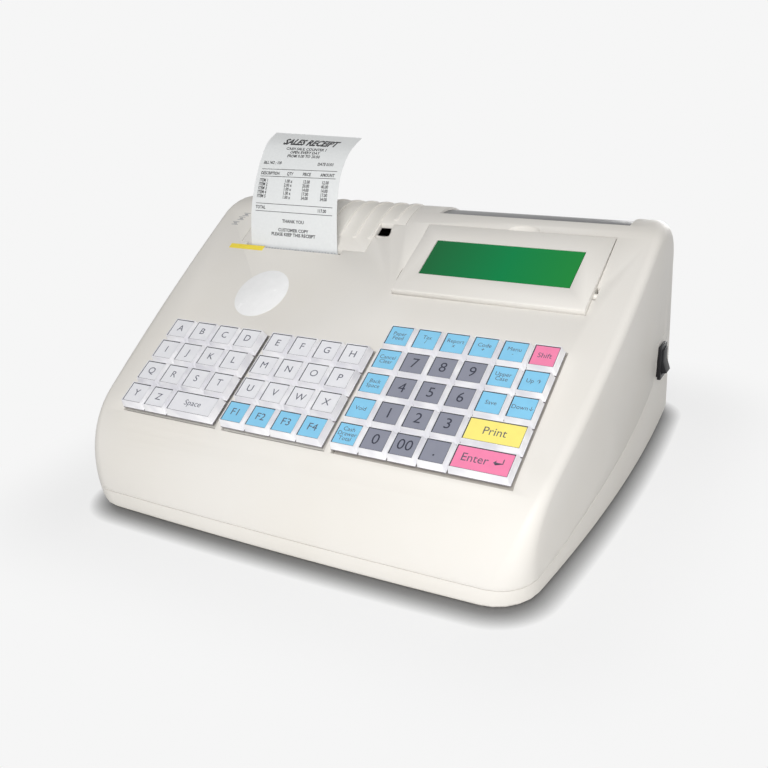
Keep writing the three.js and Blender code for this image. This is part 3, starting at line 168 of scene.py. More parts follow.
ivory = moulded_plastic("ivory_abs", IVORY, IVORY_AGED, IVORY_ROUGHNESS)
lightened_tray_ivory = moulded_plastic("ivory_abs_tray_lightened", TRAY_IVORY_LIGHTENED, TRAY_AGED_LIGHTENED, TRAY_ROUGHNESS)
finished_moulding("top_cover", "top_cover_moulding", COVER_EDGE, ivory, "case")
finished_moulding("base_tray", "base_tray_moulding", TRAY_EDGE, lightened_tray_ivory, "case")
finished_moulding("paper_lid", "paper_lid_moulding", LID_EDGE, ivory, "lid")
finished_moulding("display_bezel", "display_bezel_moulding", BEZEL_EDGE, ivory, "panel")

# Number block: 28 relegendable keys in six columns and five rows, the last two of them two cells wide.
# Each is a clear acrylic cap with a flared skirt, snapped over a printed paper label, on a square stem
# that slides in the guide plate under the deck. The labels are blue, grey, pink and yellow. The pocket round
# each label and the foot of each skirt are painted dark, as painted shade.
DECK_TILT = math.radians(28.89)
DECK_FRONT = Vector((0, -114.188, 39.6)) * MM
KEY_PITCH = 14.7 * MM
KEY_ROW_PITCH = 14.75 * MM
CAP_WIDTH = 14.0 * MM
CAP_DEPTH = 14.05 * MM
CAP_TOP_WIDTH = 12.5 * MM
CAP_TOP_DEPTH = 12.2 * MM
CAP_LIFT = 0.7 * MM
CAP_LIP = 0.7 * MM
CAP_LEDGE = 0.18 * MM
CAP_HEIGHT = 5.8 * MM
CAP_RIM = 0.32 * MM
CAP_POCKET = 0.3 * MM
CAP_EDGE = 0.22 * MM
CAP_SHARP_ANGLE = math.radians(50)
CAP_SMOOTH_ANGLE = math.radians(35)
STEM_SIDE = 5.6 * MM
STEM_LENGTH = 6.2 * MM
STEM_OVERLAP = 0.1 * MM
LABEL_THICKNESS = 0.2 * MM
# The label is smaller than its pocket and set towards the front right, so the pocket's dark floor shows as a
# painted shadow line along its back and left.
LABEL_GAP = 0.45 * MM
LABEL_SHIFT = 0.2 * MM
LABEL_CLEARANCE = 0.01 * MM
LEGEND_PROUD = 0.012 * MM
LEGEND_SPACING = 0.85
POCKET_SLOT, LABEL_SLOT, SKIRT_SHADE_SLOT = 1, 2, 3
FIRST_ROW = 30.1 * MM
NUMBER_LEFT = 27.85 * MM
NUMBER_COLUMNS = 6
NUMBER_ROWS = 5
LABEL_TONES = {
    "blue": (0.235, 0.61, 0.87),
    "grey": (0.24, 0.25, 0.31),
    "pink": (0.93, 0.23, 0.42),
    "yellow": (1.0, 0.86, 0.2),
    "white": (0.84, 0.84, 0.87),
}
LABEL_SHADE = (0.94, 0.94, 0.95)
INK_THINNING = 1.3
deck = Matrix.Translation(DECK_FRONT) @ Matrix.Rotation(DECK_TILT, 4, "X")


def mottled(name, *stops, roughness, spot, detail, coat=0, coat_roughness=0.03):
    """A finish whose colour wanders in spots between tones, under a clear coat where it has one."""
    finish, tree, surface = new_material(name)
    surface.inputs["Roughness"].default_value = roughness
    surface.inputs["Coat Weight"].default_value = coat
    surface.inputs["Coat Roughness"].default_value = coat_roughness
    place = tree.nodes.new("ShaderNodeTexCoord").outputs["Object"]
    colour_by(tree, noise(tree, place, spot, detail), surface, *stops)
    return finish


def label_paper(name, ink):
    """Printed label paper under the cap's clear top: a flat ink with faint mottle, seen through gloss."""
    shaded = [share * tone for share, tone in zip(LABEL_SHADE, ink)]
    return mottled(
        name, (0.3, shaded), (0.7, ink),
        roughness=0.5, spot=5 * MM, detail=4, coat=0.6, coat_roughness=0.08,
    )


def printing_ink_and_painted_shade(name, ink):
    """Printing ink on paper, matt and slightly uneven; the same flat finish also gives the keys' painted
    shade.
    """
    thin = [INK_THINNING * tone for tone in ink]
    return mottled(name, (0, ink), (1, thin), roughness=0.6, spot=0.8 * MM, detail=2)


acrylic = mottled(
    "clear_acrylic", (0.38, (0.79, 0.785, 0.82)), (0.62, (0.9, 0.895, 0.91)),
    roughness=0.12, spot=9 * MM, detail=1, coat=0.4, coat_roughness=0.05,
)
# Painted shade: the pocket floor round each label is near-black and stands for the shadow line at the label's
# back and left edges.
painted_pocket_shadow = printing_ink_and_painted_shade("cap_pocket_shade", (0.022, 0.024, 0.035))
# Painted shade: the foot of each skirt is dark grey and stands for the shade in the gaps between the keys.
skirt_painted_shade = printing_ink_and_painted_shade("cap_skirt_edge", (0.2, 0.185, 0.2))
label_inks = {tone: label_paper(f"label_{tone}", ink) for tone, ink in LABEL_TONES.items()}
dark_legend = printing_ink_and_painted_shade("legend_dark", (0.02, 0.022, 0.04))
grey_legend = printing_ink_and_painted_shade("legend_grey", (0.075, 0.08, 0.11))


def box_between(low, high):
    """A cube primitive brought to two corners, with its scale applied."""
    low, high = Vector(low), Vector(high)
    bpy.ops.object.select_all(action="DESELECT")
    bpy.ops.mesh.primitive_cube_add(size=1, location=(low + high) / 2)
    made = bpy.context.object
    made.scale = high - low
    bpy.ops.object.transform_apply()
    return made


def joined(pieces):
    """Joins the pieces into the first one."""
    only(pieces[0])
    for piece in pieces[1:]:
        piece.select_set(True)
    bpy.ops.object.join()
    return pieces[0]


def set_on_deck(piece, across=0, up=0):
    """Brings the selected piece from the origin to its place on the sloping deck."""
    piece.matrix_world = deck @ Matrix.Translation((across, up, 0)) @ piece.matrix_world
    bpy.ops.object.transform_apply()


def select_top(made):
    """Goes to edit mode with only the highest flat face selected."""
    level, upward = 0.01 * MM, 0.9
    bpy.ops.object.mode_set(mode="EDIT")
    bpy.ops.mesh.select_mode(type="FACE")
    bpy.ops.object.mode_set(mode="OBJECT")
    top = max(face.center.z for face in made.data.polygons)
    for face in made.data.polygons:
        face.select = face.center.z > top - level and face.normal.z > upward
    bpy.ops.object.mode_set(mode="EDIT")


def blank_key(cells):
    """A cap of one or two cells with its stem and its unprinted label, at the deck frame's origin."""
    more = (cells - 1) * KEY_PITCH
    cap = box_between(
        (-(CAP_WIDTH + more) / 2, -CAP_DEPTH / 2, CAP_LIFT),
        ((CAP_WIDTH + more) / 2, CAP_DEPTH / 2, CAP_LIFT + CAP_LIP),
    )
    for material in (acrylic, painted_pocket_shadow, label_inks["white"], skirt_painted_shade):
        cap.data.materials.append(material)
    select_top(cap)
    rise = CAP_HEIGHT - CAP_LIFT - CAP_LIP
    bpy.ops.mesh.inset(thickness=CAP_LEDGE)
    bpy.ops.mesh.extrude_region_move(TRANSFORM_OT_translate={"value": (0, 0, rise)})
    bpy.ops.transform.resize(
        value=(
            (CAP_TOP_WIDTH + more) / (CAP_WIDTH + more - 2 * CAP_LEDGE),
            CAP_TOP_DEPTH / (CAP_DEPTH - 2 * CAP_LEDGE),
            1,
        ),
        center_override=(0, 0, CAP_HEIGHT),
    )
    bpy.ops.mesh.inset(thickness=CAP_RIM)
    bpy.ops.mesh.extrude_region_move(TRANSFORM_OT_translate={"value": (0, 0, -CAP_POCKET)})
    # The pocket's floor takes the painted shadow.
    cap.active_material_index = POCKET_SLOT
    bpy.ops.object.material_slot_assign()
    bpy.ops.object.mode_set(mode="OBJECT")
    # The skirt's low upright faces take the painted shade of the gaps between keys.
    upright = 0.1
    for face in cap.data.polygons:
        if abs(face.normal.z) < upright and face.center.z < CAP_LIFT + CAP_LIP:
            face.material_index = SKIRT_SHADE_SLOT
    round_edges(cap, CAP_EDGE, CAP_SHARP_ANGLE)
    bpy.ops.object.shade_smooth_by_angle(angle=CAP_SMOOTH_ANGLE)
    stem = box_between(
        (-STEM_SIDE / 2, -STEM_SIDE / 2, CAP_LIFT - STEM_LENGTH),
        (STEM_SIDE / 2, STEM_SIDE / 2, CAP_LIFT + STEM_OVERLAP),
    )
    stem.data.materials.append(acrylic)
    floor_height = CAP_HEIGHT - CAP_POCKET
    half_width = (CAP_TOP_WIDTH + more) / 2 - CAP_RIM - LABEL_GAP
    half_depth = CAP_TOP_DEPTH / 2 - CAP_RIM - LABEL_GAP
    label = box_between(
        (LABEL_SHIFT - half_width, -LABEL_SHIFT - half_depth, floor_height + LABEL_CLEARANCE),
        (LABEL_SHIFT + half_width, -LABEL_SHIFT + half_depth, floor_height + LABEL_THICKNESS),
    )
    label.data.materials.append(label_inks["white"])
    return joined([cap, stem, label])


def flat_words(words, size, align="CENTER", spacing=1.0, bold=0.0, slant=0.0, steps=2):
    """Words as a flat mesh, with their middle line on the x axis and each curve in a number of steps."""
    bpy.ops.object.select_all(action="DESELECT")
    bpy.ops.object.text_add()
    text = bpy.context.object.data
    text.body = words
    text.size = size
    text.align_x = align
    text.align_y = "CENTER"
    text.space_line = spacing
    text.offset = bold
    text.shear = slant
    text.resolution_u = steps
    bpy.ops.object.convert(target="MESH")
    return bpy.context.object


def legend(words, size, ink):
    """A printed legend on the label of a blank key."""
    printed = flat_words(words, size, spacing=LEGEND_SPACING, steps=3)
    label_top = CAP_HEIGHT - CAP_POCKET + LABEL_THICKNESS
    printed.location = (LABEL_SHIFT, -LABEL_SHIFT, label_top + LEGEND_PROUD)
    bpy.ops.object.transform_apply()
    printed.data.materials.append(ink)
    return printed


def key(name, words, label, size, ink, left, column, row, wide):
    """One finished key on the deck: a blank with its label and legend, in a row counted from the front."""
    blank = double_blank if wide else single_blank
    made = bpy.data.objects.new(name, blank.data.copy())
    bpy.context.collection.objects.link(made)
    made.data.materials[LABEL_SLOT] = label_inks[label]
    joined([made, legend(words, size, ink)])
    set_on_deck(made, left + (column + wide / 2) * KEY_PITCH, FIRST_ROW + row * KEY_ROW_PITCH)
    return made


DIGIT_SIZE = 7.8 * MM
WORD_SIZE = 5.7 * MM
SHIFT_SIZE = 3.875 * MM
SMALL_SIZE = 3.1 * MM
number_legends = [
    [("blue", "Paper\nFeed"), ("blue", "Tax\n/"), ("blue", "Report\nx"), ("blue", "Code\n+"),
     ("blue", "Menu\n-"), ("pink", "Shift")],
    [("blue", "Cancel\nClear"), ("grey", "7"), ("grey", "8"), ("grey", "9"),
     ("blue", "Upper\nCase"), ("blue", "Up \u2191")],
    [("blue", "Back\nSpace"), ("grey", "4"), ("grey", "5"), ("grey", "6"),
     ("blue", "Save"), ("blue", "Down\u2193")],
    [("blue", "Void"), ("grey", "1"), ("grey", "2"), ("grey", "3"), ("yellow", "Print")],
    [("blue", "Cash\nDrawer\nTotal"), ("grey", "0"), ("grey", "00"), ("grey", "."), ("pink", "Enter \u21b5")],
]
single_blank = blank_key(1)
double_blank = blank_key(2)
for row, legends in enumerate(number_legends):
    for column, (label, words) in enumerate(legends):
        wide = len(legends) < NUMBER_COLUMNS and column == len(legends) - 1
        node = f"number_key_{row + 1}_{column + 1}"
        if label == "grey":
            size, ink = DIGIT_SIZE, dark_legend
        elif wide:
            size, ink = WORD_SIZE, grey_legend
        else:
            size, ink = SHIFT_SIZE if label == "pink" else SMALL_SIZE, grey_legend
        made = key(
            f"relegendable_{node}", words, label, size, ink,
            NUMBER_LEFT, column, NUMBER_ROWS - 1 - row, wide,
        )
        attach(made, node)
        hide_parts(node)

# Letter block: 31 keys of the same make in two groups, white labels with grey letters, four blue F keys
# and a Space key two cells wide. They are fixed on one keypad plate of pale ABS under the deck.
LETTER_LEFTS = (-98.2 * MM, -35 * MM)
LETTER_COLUMNS = 4
LETTER_ROWS = 4
LETTER_SIZE = 5.6 * MM
SPACE_SIZE = 4.56 * MM
letter_legends = [
    (["A", "B", "C", "D"], ["E", "F", "G", "H"]),
    (["I", "J", "K", "L"], ["M", "N", "O", "P"]),
    (["Q", "R", "S", "T"], ["U", "V", "W", "X"]),
    (["Y", "Z", "Space"], ["F1", "F2", "F3", "F4"]),
]
for row, groups in enumerate(letter_legends):
    for left, words_in_row in zip(LETTER_LEFTS, groups):
        for column, words in enumerate(words_in_row):
            wide = words == "Space"
            label = "blue" if len(words) == 2 else "white"
            size = SPACE_SIZE if wide else LETTER_SIZE
            made = key(
                f"letter_key_{words}", words, label, size, grey_legend,
                left, column, LETTER_ROWS - 1 - row, wide,
            )
            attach(made, "case")
for blank in (single_blank, double_blank):
    bpy.data.objects.remove(blank)

PLATE_SIDE = 10.3 * MM
PLATE_INNER_SIDE = 8.24 * MM
PLATE_FRONT = 6.18 * MM
PLATE_TOP = -2.8 * MM
PLATE_THICKNESS = 2.5 * MM
PLATE_EDGE = 0.4 * MM
plate = box_between(
    (
        LETTER_LEFTS[0] - PLATE_SIDE,
        FIRST_ROW - PLATE_FRONT,
        PLATE_TOP - PLATE_THICKNESS,
    ),
    (
        LETTER_LEFTS[1] + (LETTER_COLUMNS - 1) * KEY_PITCH + PLATE_INNER_SIDE,
        FIRST_ROW + (LETTER_ROWS - 1) * KEY_ROW_PITCH + PLATE_SIDE,
        PLATE_TOP,
    ),
)
plate.name = "letter_keypad_plate"
bpy.ops.object.mode_set(mode="EDIT")
bpy.ops.mesh.select_all(action="SELECT")
bpy.ops.mesh.subdivide(number_cuts=2)
bpy.ops.object.mode_set(mode="OBJECT")
round_edges(plate, PLATE_EDGE, segments=4)
bpy.ops.object.shade_smooth_by_angle(angle=CAP_SMOOTH_ANGLE)
set_on_deck(plate)
plate_plastic = moulded_plastic("keypad_plate_plastic", (0.66, 0.64, 0.6), (0.62, 0.6, 0.56), roughness=0.5)
plate.data.materials.append(plate_plastic)
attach(plate, "case")
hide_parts("letter_keypad")

# Working parts under the cover, seen through the lid's opening, the finger notch and the sockets: a grey
# ABS guide and a dark bucket, black sockets and print head, steel frame and shafts, nylon gears, green
# circuit boards, and a rubber platen and feet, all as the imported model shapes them.
FINISH_STOPS = (0.3, 0.7)
FINISH_ROUGHNESS_SPREAD = 0.06
FINISH_STRENGTH = 0.4


def plain_finish(name, dark, light, roughness, spot=2 * MM, relief=0.01 * MM, metal=0, streak=1):
    """A mottled or brushed finish: two close tones, uneven gloss and a fine relief, drawn out along x."""
    finish, tree, surface = new_material(name)
    surface.inputs["Metallic"].default_value = metal
    stretch = tree.nodes.new("ShaderNodeMapping")
    stretch.inputs["Scale"].default_value = (1 / streak, 1, 1)
    tree.links.new(tree.nodes.new("ShaderNodeTexCoord").outputs["Object"], stretch.inputs["Vector"])
    mottle = noise(tree, stretch.outputs["Vector"], spot, detail=3)
    colour_by(tree, mottle, surface, *zip(FINISH_STOPS, (dark, light)))
    uneven_gloss(tree, mottle, surface, roughness, FINISH_ROUGHNESS_SPREAD)
    fine_relief(tree, mottle, surface, FINISH_STRENGTH, relief)
    return finish


def dress(material, *nodes):
    """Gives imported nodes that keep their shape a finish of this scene."""
    for node in nodes:
        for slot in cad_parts[node].material_slots:
            slot.material = material


guide_plastic = moulded_plastic("guide_abs", (0.5, 0.47, 0.43), (0.45, 0.42, 0.385), roughness=0.5)
bucket_plastic = moulded_plastic("bucket_abs", (0.07, 0.05, 0.045), (0.055, 0.042, 0.038), roughness=0.45)
black_plastic = moulded_plastic("black_abs", (0.016, 0.016, 0.018), (0.022, 0.021, 0.022), roughness=0.38)
brushed_steel = plain_finish(
    "brushed_steel", (0.5, 0.51, 0.53), (0.62, 0.63, 0.65),
    roughness=0.32, spot=0.6 * MM, relief=0.004 * MM, metal=1, streak=12,
)
gear_nylon = plain_finish("gear_nylon", (0.72, 0.7, 0.64), (0.8, 0.78, 0.73), roughness=0.5)
solder_mask = plain_finish(
    "solder_mask", (0.012, 0.1, 0.035), (0.02, 0.15, 0.055),
    roughness=0.3, spot=1.2 * MM,
)
soft_rubber = plain_finish(
    "soft_rubber", (0.012, 0.012, 0.012), (0.02, 0.02, 0.02),
    roughness=0.75, spot=0.5 * MM, relief=0.02 * MM,
)
roll_paper = plain_finish(
    "roll_paper", (0.78, 0.79, 0.78), (0.84, 0.85, 0.85),
    roughness=0.7, spot=0.3 * MM, streak=60,
)
dress(guide_plastic, "number_key_guide")
dress(bucket_plastic, "paper_bucket")
dress(black_plastic, "print_head", "drawer_socket", "dc_jack")
dress(brushed_steel, "printer_frame", "stepper_motor", "platen_shaft", "tear_bar")
dress(gear_nylon, "platen_gear", "idler_gear", "motor_pinion")
dress(solder_mask, "key_board", "main_board", "display_module", "customer_display")
dress(soft_rubber, "platen_roller")
dress(soft_rubber, "foot_front_left", "foot_front_right", "foot_rear_left", "foot_rear_right")
dress(roll_paper, "paper_roll")

# Power switch: a black rocker in a flanged body, snapped into the raised tab of the base's right wall.
# Both are satin black nylon, with their edges just broken.
FLANGE_EDGE = 0.35 * MM
ROCKER_EDGE = 0.4 * MM
switch_black = moulded_plastic("switch_nylon", (0.01, 0.01, 0.012), (0.016, 0.015, 0.016), roughness=0.42)
finished_moulding("switch_body", "switch_body_moulding", FLANGE_EDGE, switch_black, "case")
finished_moulding("power_rocker", "power_rocker_moulding", ROCKER_EDGE, switch_black, "rocker")

# Display window: a flat acrylic pane in the bezel, over a green transflective panel. Its green darkens to the
# left, away from the softbox, as painted shade.
# It keeps the imported shape, and its tone runs across it by the share of its width.
WINDOW_ROUGHNESS = 0.22
WINDOW_REFLECTION = 0.08
WINDOW_STOPS_WITH_PAINTED_SHADE = ((0, (0.01, 0.15, 0.045)), (0.55, (0.002, 0.24, 0.068)), (1, (0.014, 0.26, 0.048)))
green_window, window_tree, window_surface = new_material("green_window")
window_surface.inputs["Roughness"].default_value = WINDOW_ROUGHNESS
window_surface.inputs["Specular IOR Level"].default_value = WINDOW_REFLECTION
window_low, window_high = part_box("display_lens")
window_width = window_high[0] - window_low[0]
window_place = window_tree.nodes.new("ShaderNodeTexCoord")
window_span = window_tree.nodes.new("ShaderNodeMapping")
window_span.inputs["Location"].default_value = (-window_low[0] / window_width, 0, 0)
window_span.inputs["Scale"].default_value = (1 / window_width, 1, 1)
window_tree.links.new(window_place.outputs["Object"], window_span.inputs["Vector"])
window_across = window_tree.nodes.new("ShaderNodeSeparateXYZ")
window_tree.links.new(window_span.outputs["Vector"], window_across.inputs["Vector"])
colour_by(window_tree, window_across.outputs["X"], window_surface, *WINDOW_STOPS_WITH_PAINTED_SHADE)
dress(green_window, "display_lens")

# Customer window: a strip of smoked acrylic, through which the rear display shows.
# It lies in a seat in the crest, and only its edges are broken.
PANE_EDGE = 0.15 * MM
PANE_REFLECTION = 0.1
smoked_acrylic = plain_finish(
    "smoked_acrylic", (0.2, 0.2, 0.205), (0.25, 0.25, 0.255),
    roughness=0.3, spot=14 * MM, relief=0,
)
smoked_acrylic.node_tree.nodes["Principled BSDF"].inputs["Specular IOR Level"].default_value = PANE_REFLECTION
finished_moulding("customer_window", "customer_window_pane", PANE_EDGE, smoked_acrylic, "case")

# Receipt: thermal paper, 57.8 mm wide, from the roll round the platen and up out of the slot, where it
# leans back over the crest in a soft curve. Both edges are given in mm from the case's lower front edge.
PAPER_THICKNESS = 0.12 * MM
PLATEN_GAP = 0.22 * MM
ROLL_GAP = 0.42 * MM
PLATEN_STEPS = 14
CURVE_STEPS = 8
SLOPE_STEP = 0.2 * MM
PAPER_SMOOTH_ANGLE = math.radians(40)
CASE_ORIGIN = Vector((-114.188, 3.0)) * MM
LEFT_EDGE = [
    (126.9, 106.9), (128.6, 117.5), (131.2, 128.2), (136.3, 139.2),
    (143.4, 150.2), (151.6, 158.9), (161.6, 163.2),
]
RIGHT_EDGE = [
    (126.9, 106.9), (128.2, 118.6), (130.2, 130.6), (133.8, 141.4),
    (139.4, 149.9), (148.2, 157.0), (160.6, 161.6),
]
platen_low, platen_high = (Vector(corner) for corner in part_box("platen_roller"))
roll_low, roll_high = (Vector(corner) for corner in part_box("paper_roll"))
paper_left, paper_right = roll_low.x, roll_high.x
paper_width = paper_right - paper_left


def smooth_line(points):
    """Points along a smooth curve through the given ones."""
    line = []
    ends = [points[0], *points, points[-1]]
    for i in range(1, len(ends) - 2):
        a, b, c, d = (Vector(point) for point in ends[i - 1:i + 3])
        for step in range(CURVE_STEPS):
            t = step / CURVE_STEPS
            bend = (2 * a - 5 * b + 4 * c - d) * t**2 + (3 * b - a - 3 * c + d) * t**3
            line.append(0.5 * (2 * b + (c - a) * t + bend))
    line.append(Vector(points[-1]))
    return line


def hidden_path():
    """The paper's way from the roll's front, down round the platen and up to the slot, in y and z."""
    platen = (platen_low + platen_high) / 2
    roll = (roll_low + roll_high) / 2
    platen_radius = (platen_high.z - platen_low.z) / 2 + PLATEN_GAP
    roll_radius = (roll_high.z - roll_low.z) / 2 + ROLL_GAP
    away = Vector((roll.y - platen.y, roll.z - platen.z))
    leave = math.atan2(away.y, away.x) - math.acos((platen_radius - roll_radius) / away.length)
    path = [Vector((roll.y, roll.z)) + roll_radius * Vector((math.cos(leave), math.sin(leave)))]
    for step in range(PLATEN_STEPS + 1):
        a = leave + 2 * math.pi - (leave + math.pi) * step / PLATEN_STEPS
        path.append(Vector((platen.y, platen.z)) + platen_radius * Vector((math.cos(a), math.sin(a))))
    return path


def paper_edge(shown):
    """One edge of the strip from the roll to its torn end, and how far past the slot each point lies."""
    hidden = hidden_path()
    edge = hidden + [CASE_ORIGIN + point * MM for point in smooth_line(shown)]
    along = [0.0]
    for a, b in zip(edge, edge[1:]):
        along.append(along[-1] + (b - a).length)
    return edge, [distance - along[len(hidden)] for distance in along]


left_edge, left_along = paper_edge(LEFT_EDGE)
right_edge, right_along = paper_edge(RIGHT_EDGE)
paper_start, paper_end = left_along[0], left_along[-1]


def on_edge(edge, along, distance):
    """The edge's point at a distance from the slot's mouth."""
    last = len(along) - 2
    i = next((k for k in range(last + 1) if along[k + 1] >= distance), last)
    share = (distance - along[i]) / (along[i + 1] - along[i])
    return edge[i] + (edge[i + 1] - edge[i]) * share


def on_paper(across, distance, proud=0.0):
    """A place on the strip: share of its width from the left, metres past the slot, and how far in front."""
    left = on_edge(left_edge, left_along, distance)
    stretch = right_along[-1] / paper_end if distance > 0 else 1
    right = on_edge(right_edge, right_along, distance * stretch)
    ahead = on_edge(left_edge, left_along, min(distance + SLOPE_STEP, paper_end))
    back = on_edge(left_edge, left_along, max(distance - SLOPE_STEP, paper_start))
    run = (ahead - back).normalized()
    place = left + (right - left) * across + Vector((-run.y, run.x)) * proud
    return Vector((paper_left + paper_width * across, place.x, place.y))


bpy.ops.object.select_all(action="DESELECT")
bpy.ops.mesh.primitive_grid_add(x_subdivisions=14, y_subdivisions=110, size=1)
receipt = bpy.context.object
receipt.name = "receipt_strip"
for corner in receipt.data.vertices:
    distance = paper_start + (paper_end - paper_start) * (corner.co.y + 0.5)
    corner.co = on_paper(corner.co.x + 0.5, distance)
thick = receipt.modifiers.new("paper thickness", "SOLIDIFY")
thick.thickness = PAPER_THICKNESS
thick.offset = 0
bpy.ops.object.modifier_apply(modifier=thick.name)
bpy.ops.object.mode_set(mode="EDIT")
bpy.ops.mesh.select_all(action="SELECT")
bpy.ops.mesh.normals_make_consistent(inside=False)
bpy.ops.object.mode_set(mode="OBJECT")
bpy.ops.object.shade_smooth_by_angle(angle=PAPER_SMOOTH_ANGLE)
thermal_paper = plain_finish(
    "thermal_paper", (0.76, 0.775, 0.775), (0.79, 0.805, 0.805),
    roughness=0.45, spot=1.5 * MM, relief=0.004 * MM,
)
receipt.data.materials.append(thermal_paper)
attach(receipt, "lid")
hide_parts("receipt_paper")

# The strip's print: a heading, a small table of plain words and figures, and ruled lines.
# Black thermal ink, bent with the paper and laid just over its face. Places are shares of the strip's
# width from the left and of its length above the slot.
PRINT_PROUD = 0.035 * MM
PRINT_FACE = PAPER_THICKNESS / 2 + PRINT_PROUD
RULE_WIDTH = 0.3 * MM
RULE_ENDS = (0.05, 0.95)
RULE_HEIGHTS = (0.61, 0.55, 0.33, 0.27)
HEADING_SIZE = 7.0 * MM
HEADING_BOLD = 0.3 * MM
HEADING_SLANT = 0.25
HEADING_SQUEEZE = 0.78
HEADING_CUTS = 4
SMALL_PRINT = 2.5 * MM
SMALL_BOLD = 0.07 * MM
ROW_SQUEEZE = 0.85
centred_lines = [
    (0.8, "CASH SALE, COUNTER 1"),
    (0.765, "OPEN EVERY DAY"),
    (0.73, "FROM 9.00 TO 20.00"),
    (0.2, "THANK YOU"),
    (0.13, "CUSTOMER COPY"),
    (0.095, "PLEASE KEEP THIS RECEIPT"),
]
receipt_rows = [
    (0.665, [(0.05, "BILL NO : 100"), (0.7, "DATE 01/01")]),
    (0.575, [(0.05, "DESCRIPTION"), (0.37, "QTY"), (0.56, "PRICE"), (0.77, "AMOUNT")]),
    (0.515, [(0.05, "ITEM 1"), (0.36, "1.00 x"), (0.58, "12.00"), (0.8, "12.00")]),
    (0.483, [(0.05, "ITEM 2"), (0.36, "2.00 x"), (0.58, "20.00"), (0.8, "40.00")]),
    (0.451, [(0.05, "ITEM 3"), (0.36, "1.00 x"), (0.58, "14.00"), (0.8, "14.00")]),
    (0.419, [(0.05, "ITEM 4"), (0.36, "1.00 x"), (0.58, "17.00"), (0.8, "17.00")]),
    (0.387, [(0.05, "ITEM 5"), (0.36, "1.00 x"), (0.58, "34.00"), (0.8, "34.00")]),
    (0.298, [(0.05, "TOTAL"), (0.78, "117.00")]),
]
thermal_ink = printing_ink_and_painted_shade("thermal_ink", (0.02, 0.02, 0.022))


def print_on_paper(
    words, across, up, size=SMALL_PRINT, align="CENTER", bold=SMALL_BOLD, slant=0.0, squeeze=1.0, cuts=1
):
    """Prints words with their middle line at a height above the slot."""
    printed = flat_words(words, size, align, bold=bold, slant=slant)
    bpy.ops.object.mode_set(mode="EDIT")
    bpy.ops.mesh.select_all(action="SELECT")
    bpy.ops.mesh.subdivide(number_cuts=cuts)
    bpy.ops.object.mode_set(mode="OBJECT")
    for corner in printed.data.vertices:
        share = across + corner.co.x * squeeze / paper_width
        corner.co = on_paper(share, up * paper_end + corner.co.y, PRINT_FACE)
    printed.data.materials.append(thermal_ink)
    return printed


def rule_on_paper(start, end, up):
    """Prints a ruled line across the strip."""
    bpy.ops.object.select_all(action="DESELECT")
    bpy.ops.mesh.primitive_grid_add(x_subdivisions=12, y_subdivisions=1, size=1)
    line = bpy.context.object
    for corner in line.data.vertices:
        across = start + (end - start) * (corner.co.x + 0.5)
        corner.co = on_paper(across, up * paper_end + corner.co.y * RULE_WIDTH, PRINT_FACE)
    line.data.materials.append(thermal_ink)
    return line


prints = [
    print_on_paper(
        "SALES RECEIPT", 0.5, 0.875, HEADING_SIZE,
        bold=HEADING_BOLD, slant=HEADING_SLANT, squeeze=HEADING_SQUEEZE, cuts=HEADING_CUTS,
    )
]
for up, words in centred_lines:
    prints.append(print_on_paper(words, 0.5, up))
for up, words_in_row in receipt_rows:
    for across, words in words_in_row:
        prints.append(print_on_paper(words, across, up, align="LEFT", squeeze=ROW_SQUEEZE))
for up in RULE_HEIGHTS:
    prints.append(rule_on_paper(*RULE_ENDS, up))
joined(prints)
prints[0].name = "receipt_print"
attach(prints[0], "lid")

# Labels on the deck: a bare round sticker and a bare yellow strip, both of gloss paper with pressed
# edges, stuck on, and three small marks printed at the lid's left.
STICKER_CENTRE = (-68 * MM, 109.8 * MM)
STICKER_RADIUS = 15.3 * MM
STICKER_STRETCH = 1.1
LABEL_BASE = 0.02 * MM
STICKER_THICKNESS = 0.15 * MM
STICKER_EDGE = 0.06 * MM
bpy.ops.object.select_all(action="DESELECT")
bpy.ops.mesh.primitive_cylinder_add(
    vertices=72,
    radius=STICKER_RADIUS,
    depth=STICKER_THICKNESS,
    location=(*STICKER_CENTRE, STICKER_THICKNESS / 2 + LABEL_BASE),
)
sticker = bpy.context.object
sticker.name = "round_sticker"
sticker.scale.y = STICKER_STRETCH
bpy.ops.object.transform_apply(location=False, rotation=False, scale=True)
round_edges(sticker, STICKER_EDGE)
bpy.ops.object.shade_smooth_by_angle(angle=PAPER_SMOOTH_ANGLE)
set_on_deck(sticker)
gloss_paper = plain_finish(
    "gloss_label_paper", (0.9, 0.9, 0.9), (0.94, 0.94, 0.94),
    roughness=0.25, spot=6 * MM, relief=0.003 * MM,
)
sticker.data.materials.append(gloss_paper)
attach(sticker, "case")

YELLOW_LOW = (-109 * MM, 140.6 * MM, LABEL_BASE)
YELLOW_HIGH = (-85.5 * MM, 144.1 * MM, LABEL_BASE + STICKER_THICKNESS)
yellow_strip = box_between(YELLOW_LOW, YELLOW_HIGH)
yellow_strip.name = "yellow_strip_label"
round_edges(yellow_strip, STICKER_EDGE)
set_on_deck(yellow_strip)
yellow_paper = plain_finish(
    "yellow_label_paper", (0.86, 0.66, 0.03), (0.92, 0.74, 0.05),
    roughness=0.3, spot=4 * MM, relief=0.003 * MM,
)
yellow_strip.data.materials.append(yellow_paper)
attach(yellow_strip, "case")

STATUS_MARKS = ((-116.3 * MM, 160.5 * MM), (-114.4 * MM, 164.7 * MM), (-112.6 * MM, 168.1 * MM))
MARK_LENGTH = 4.6 * MM
MARK_WIDTH = 2.6 * MM
MARK_LINE = 0.45 * MM
MARK_PROUD = 0.03 * MM


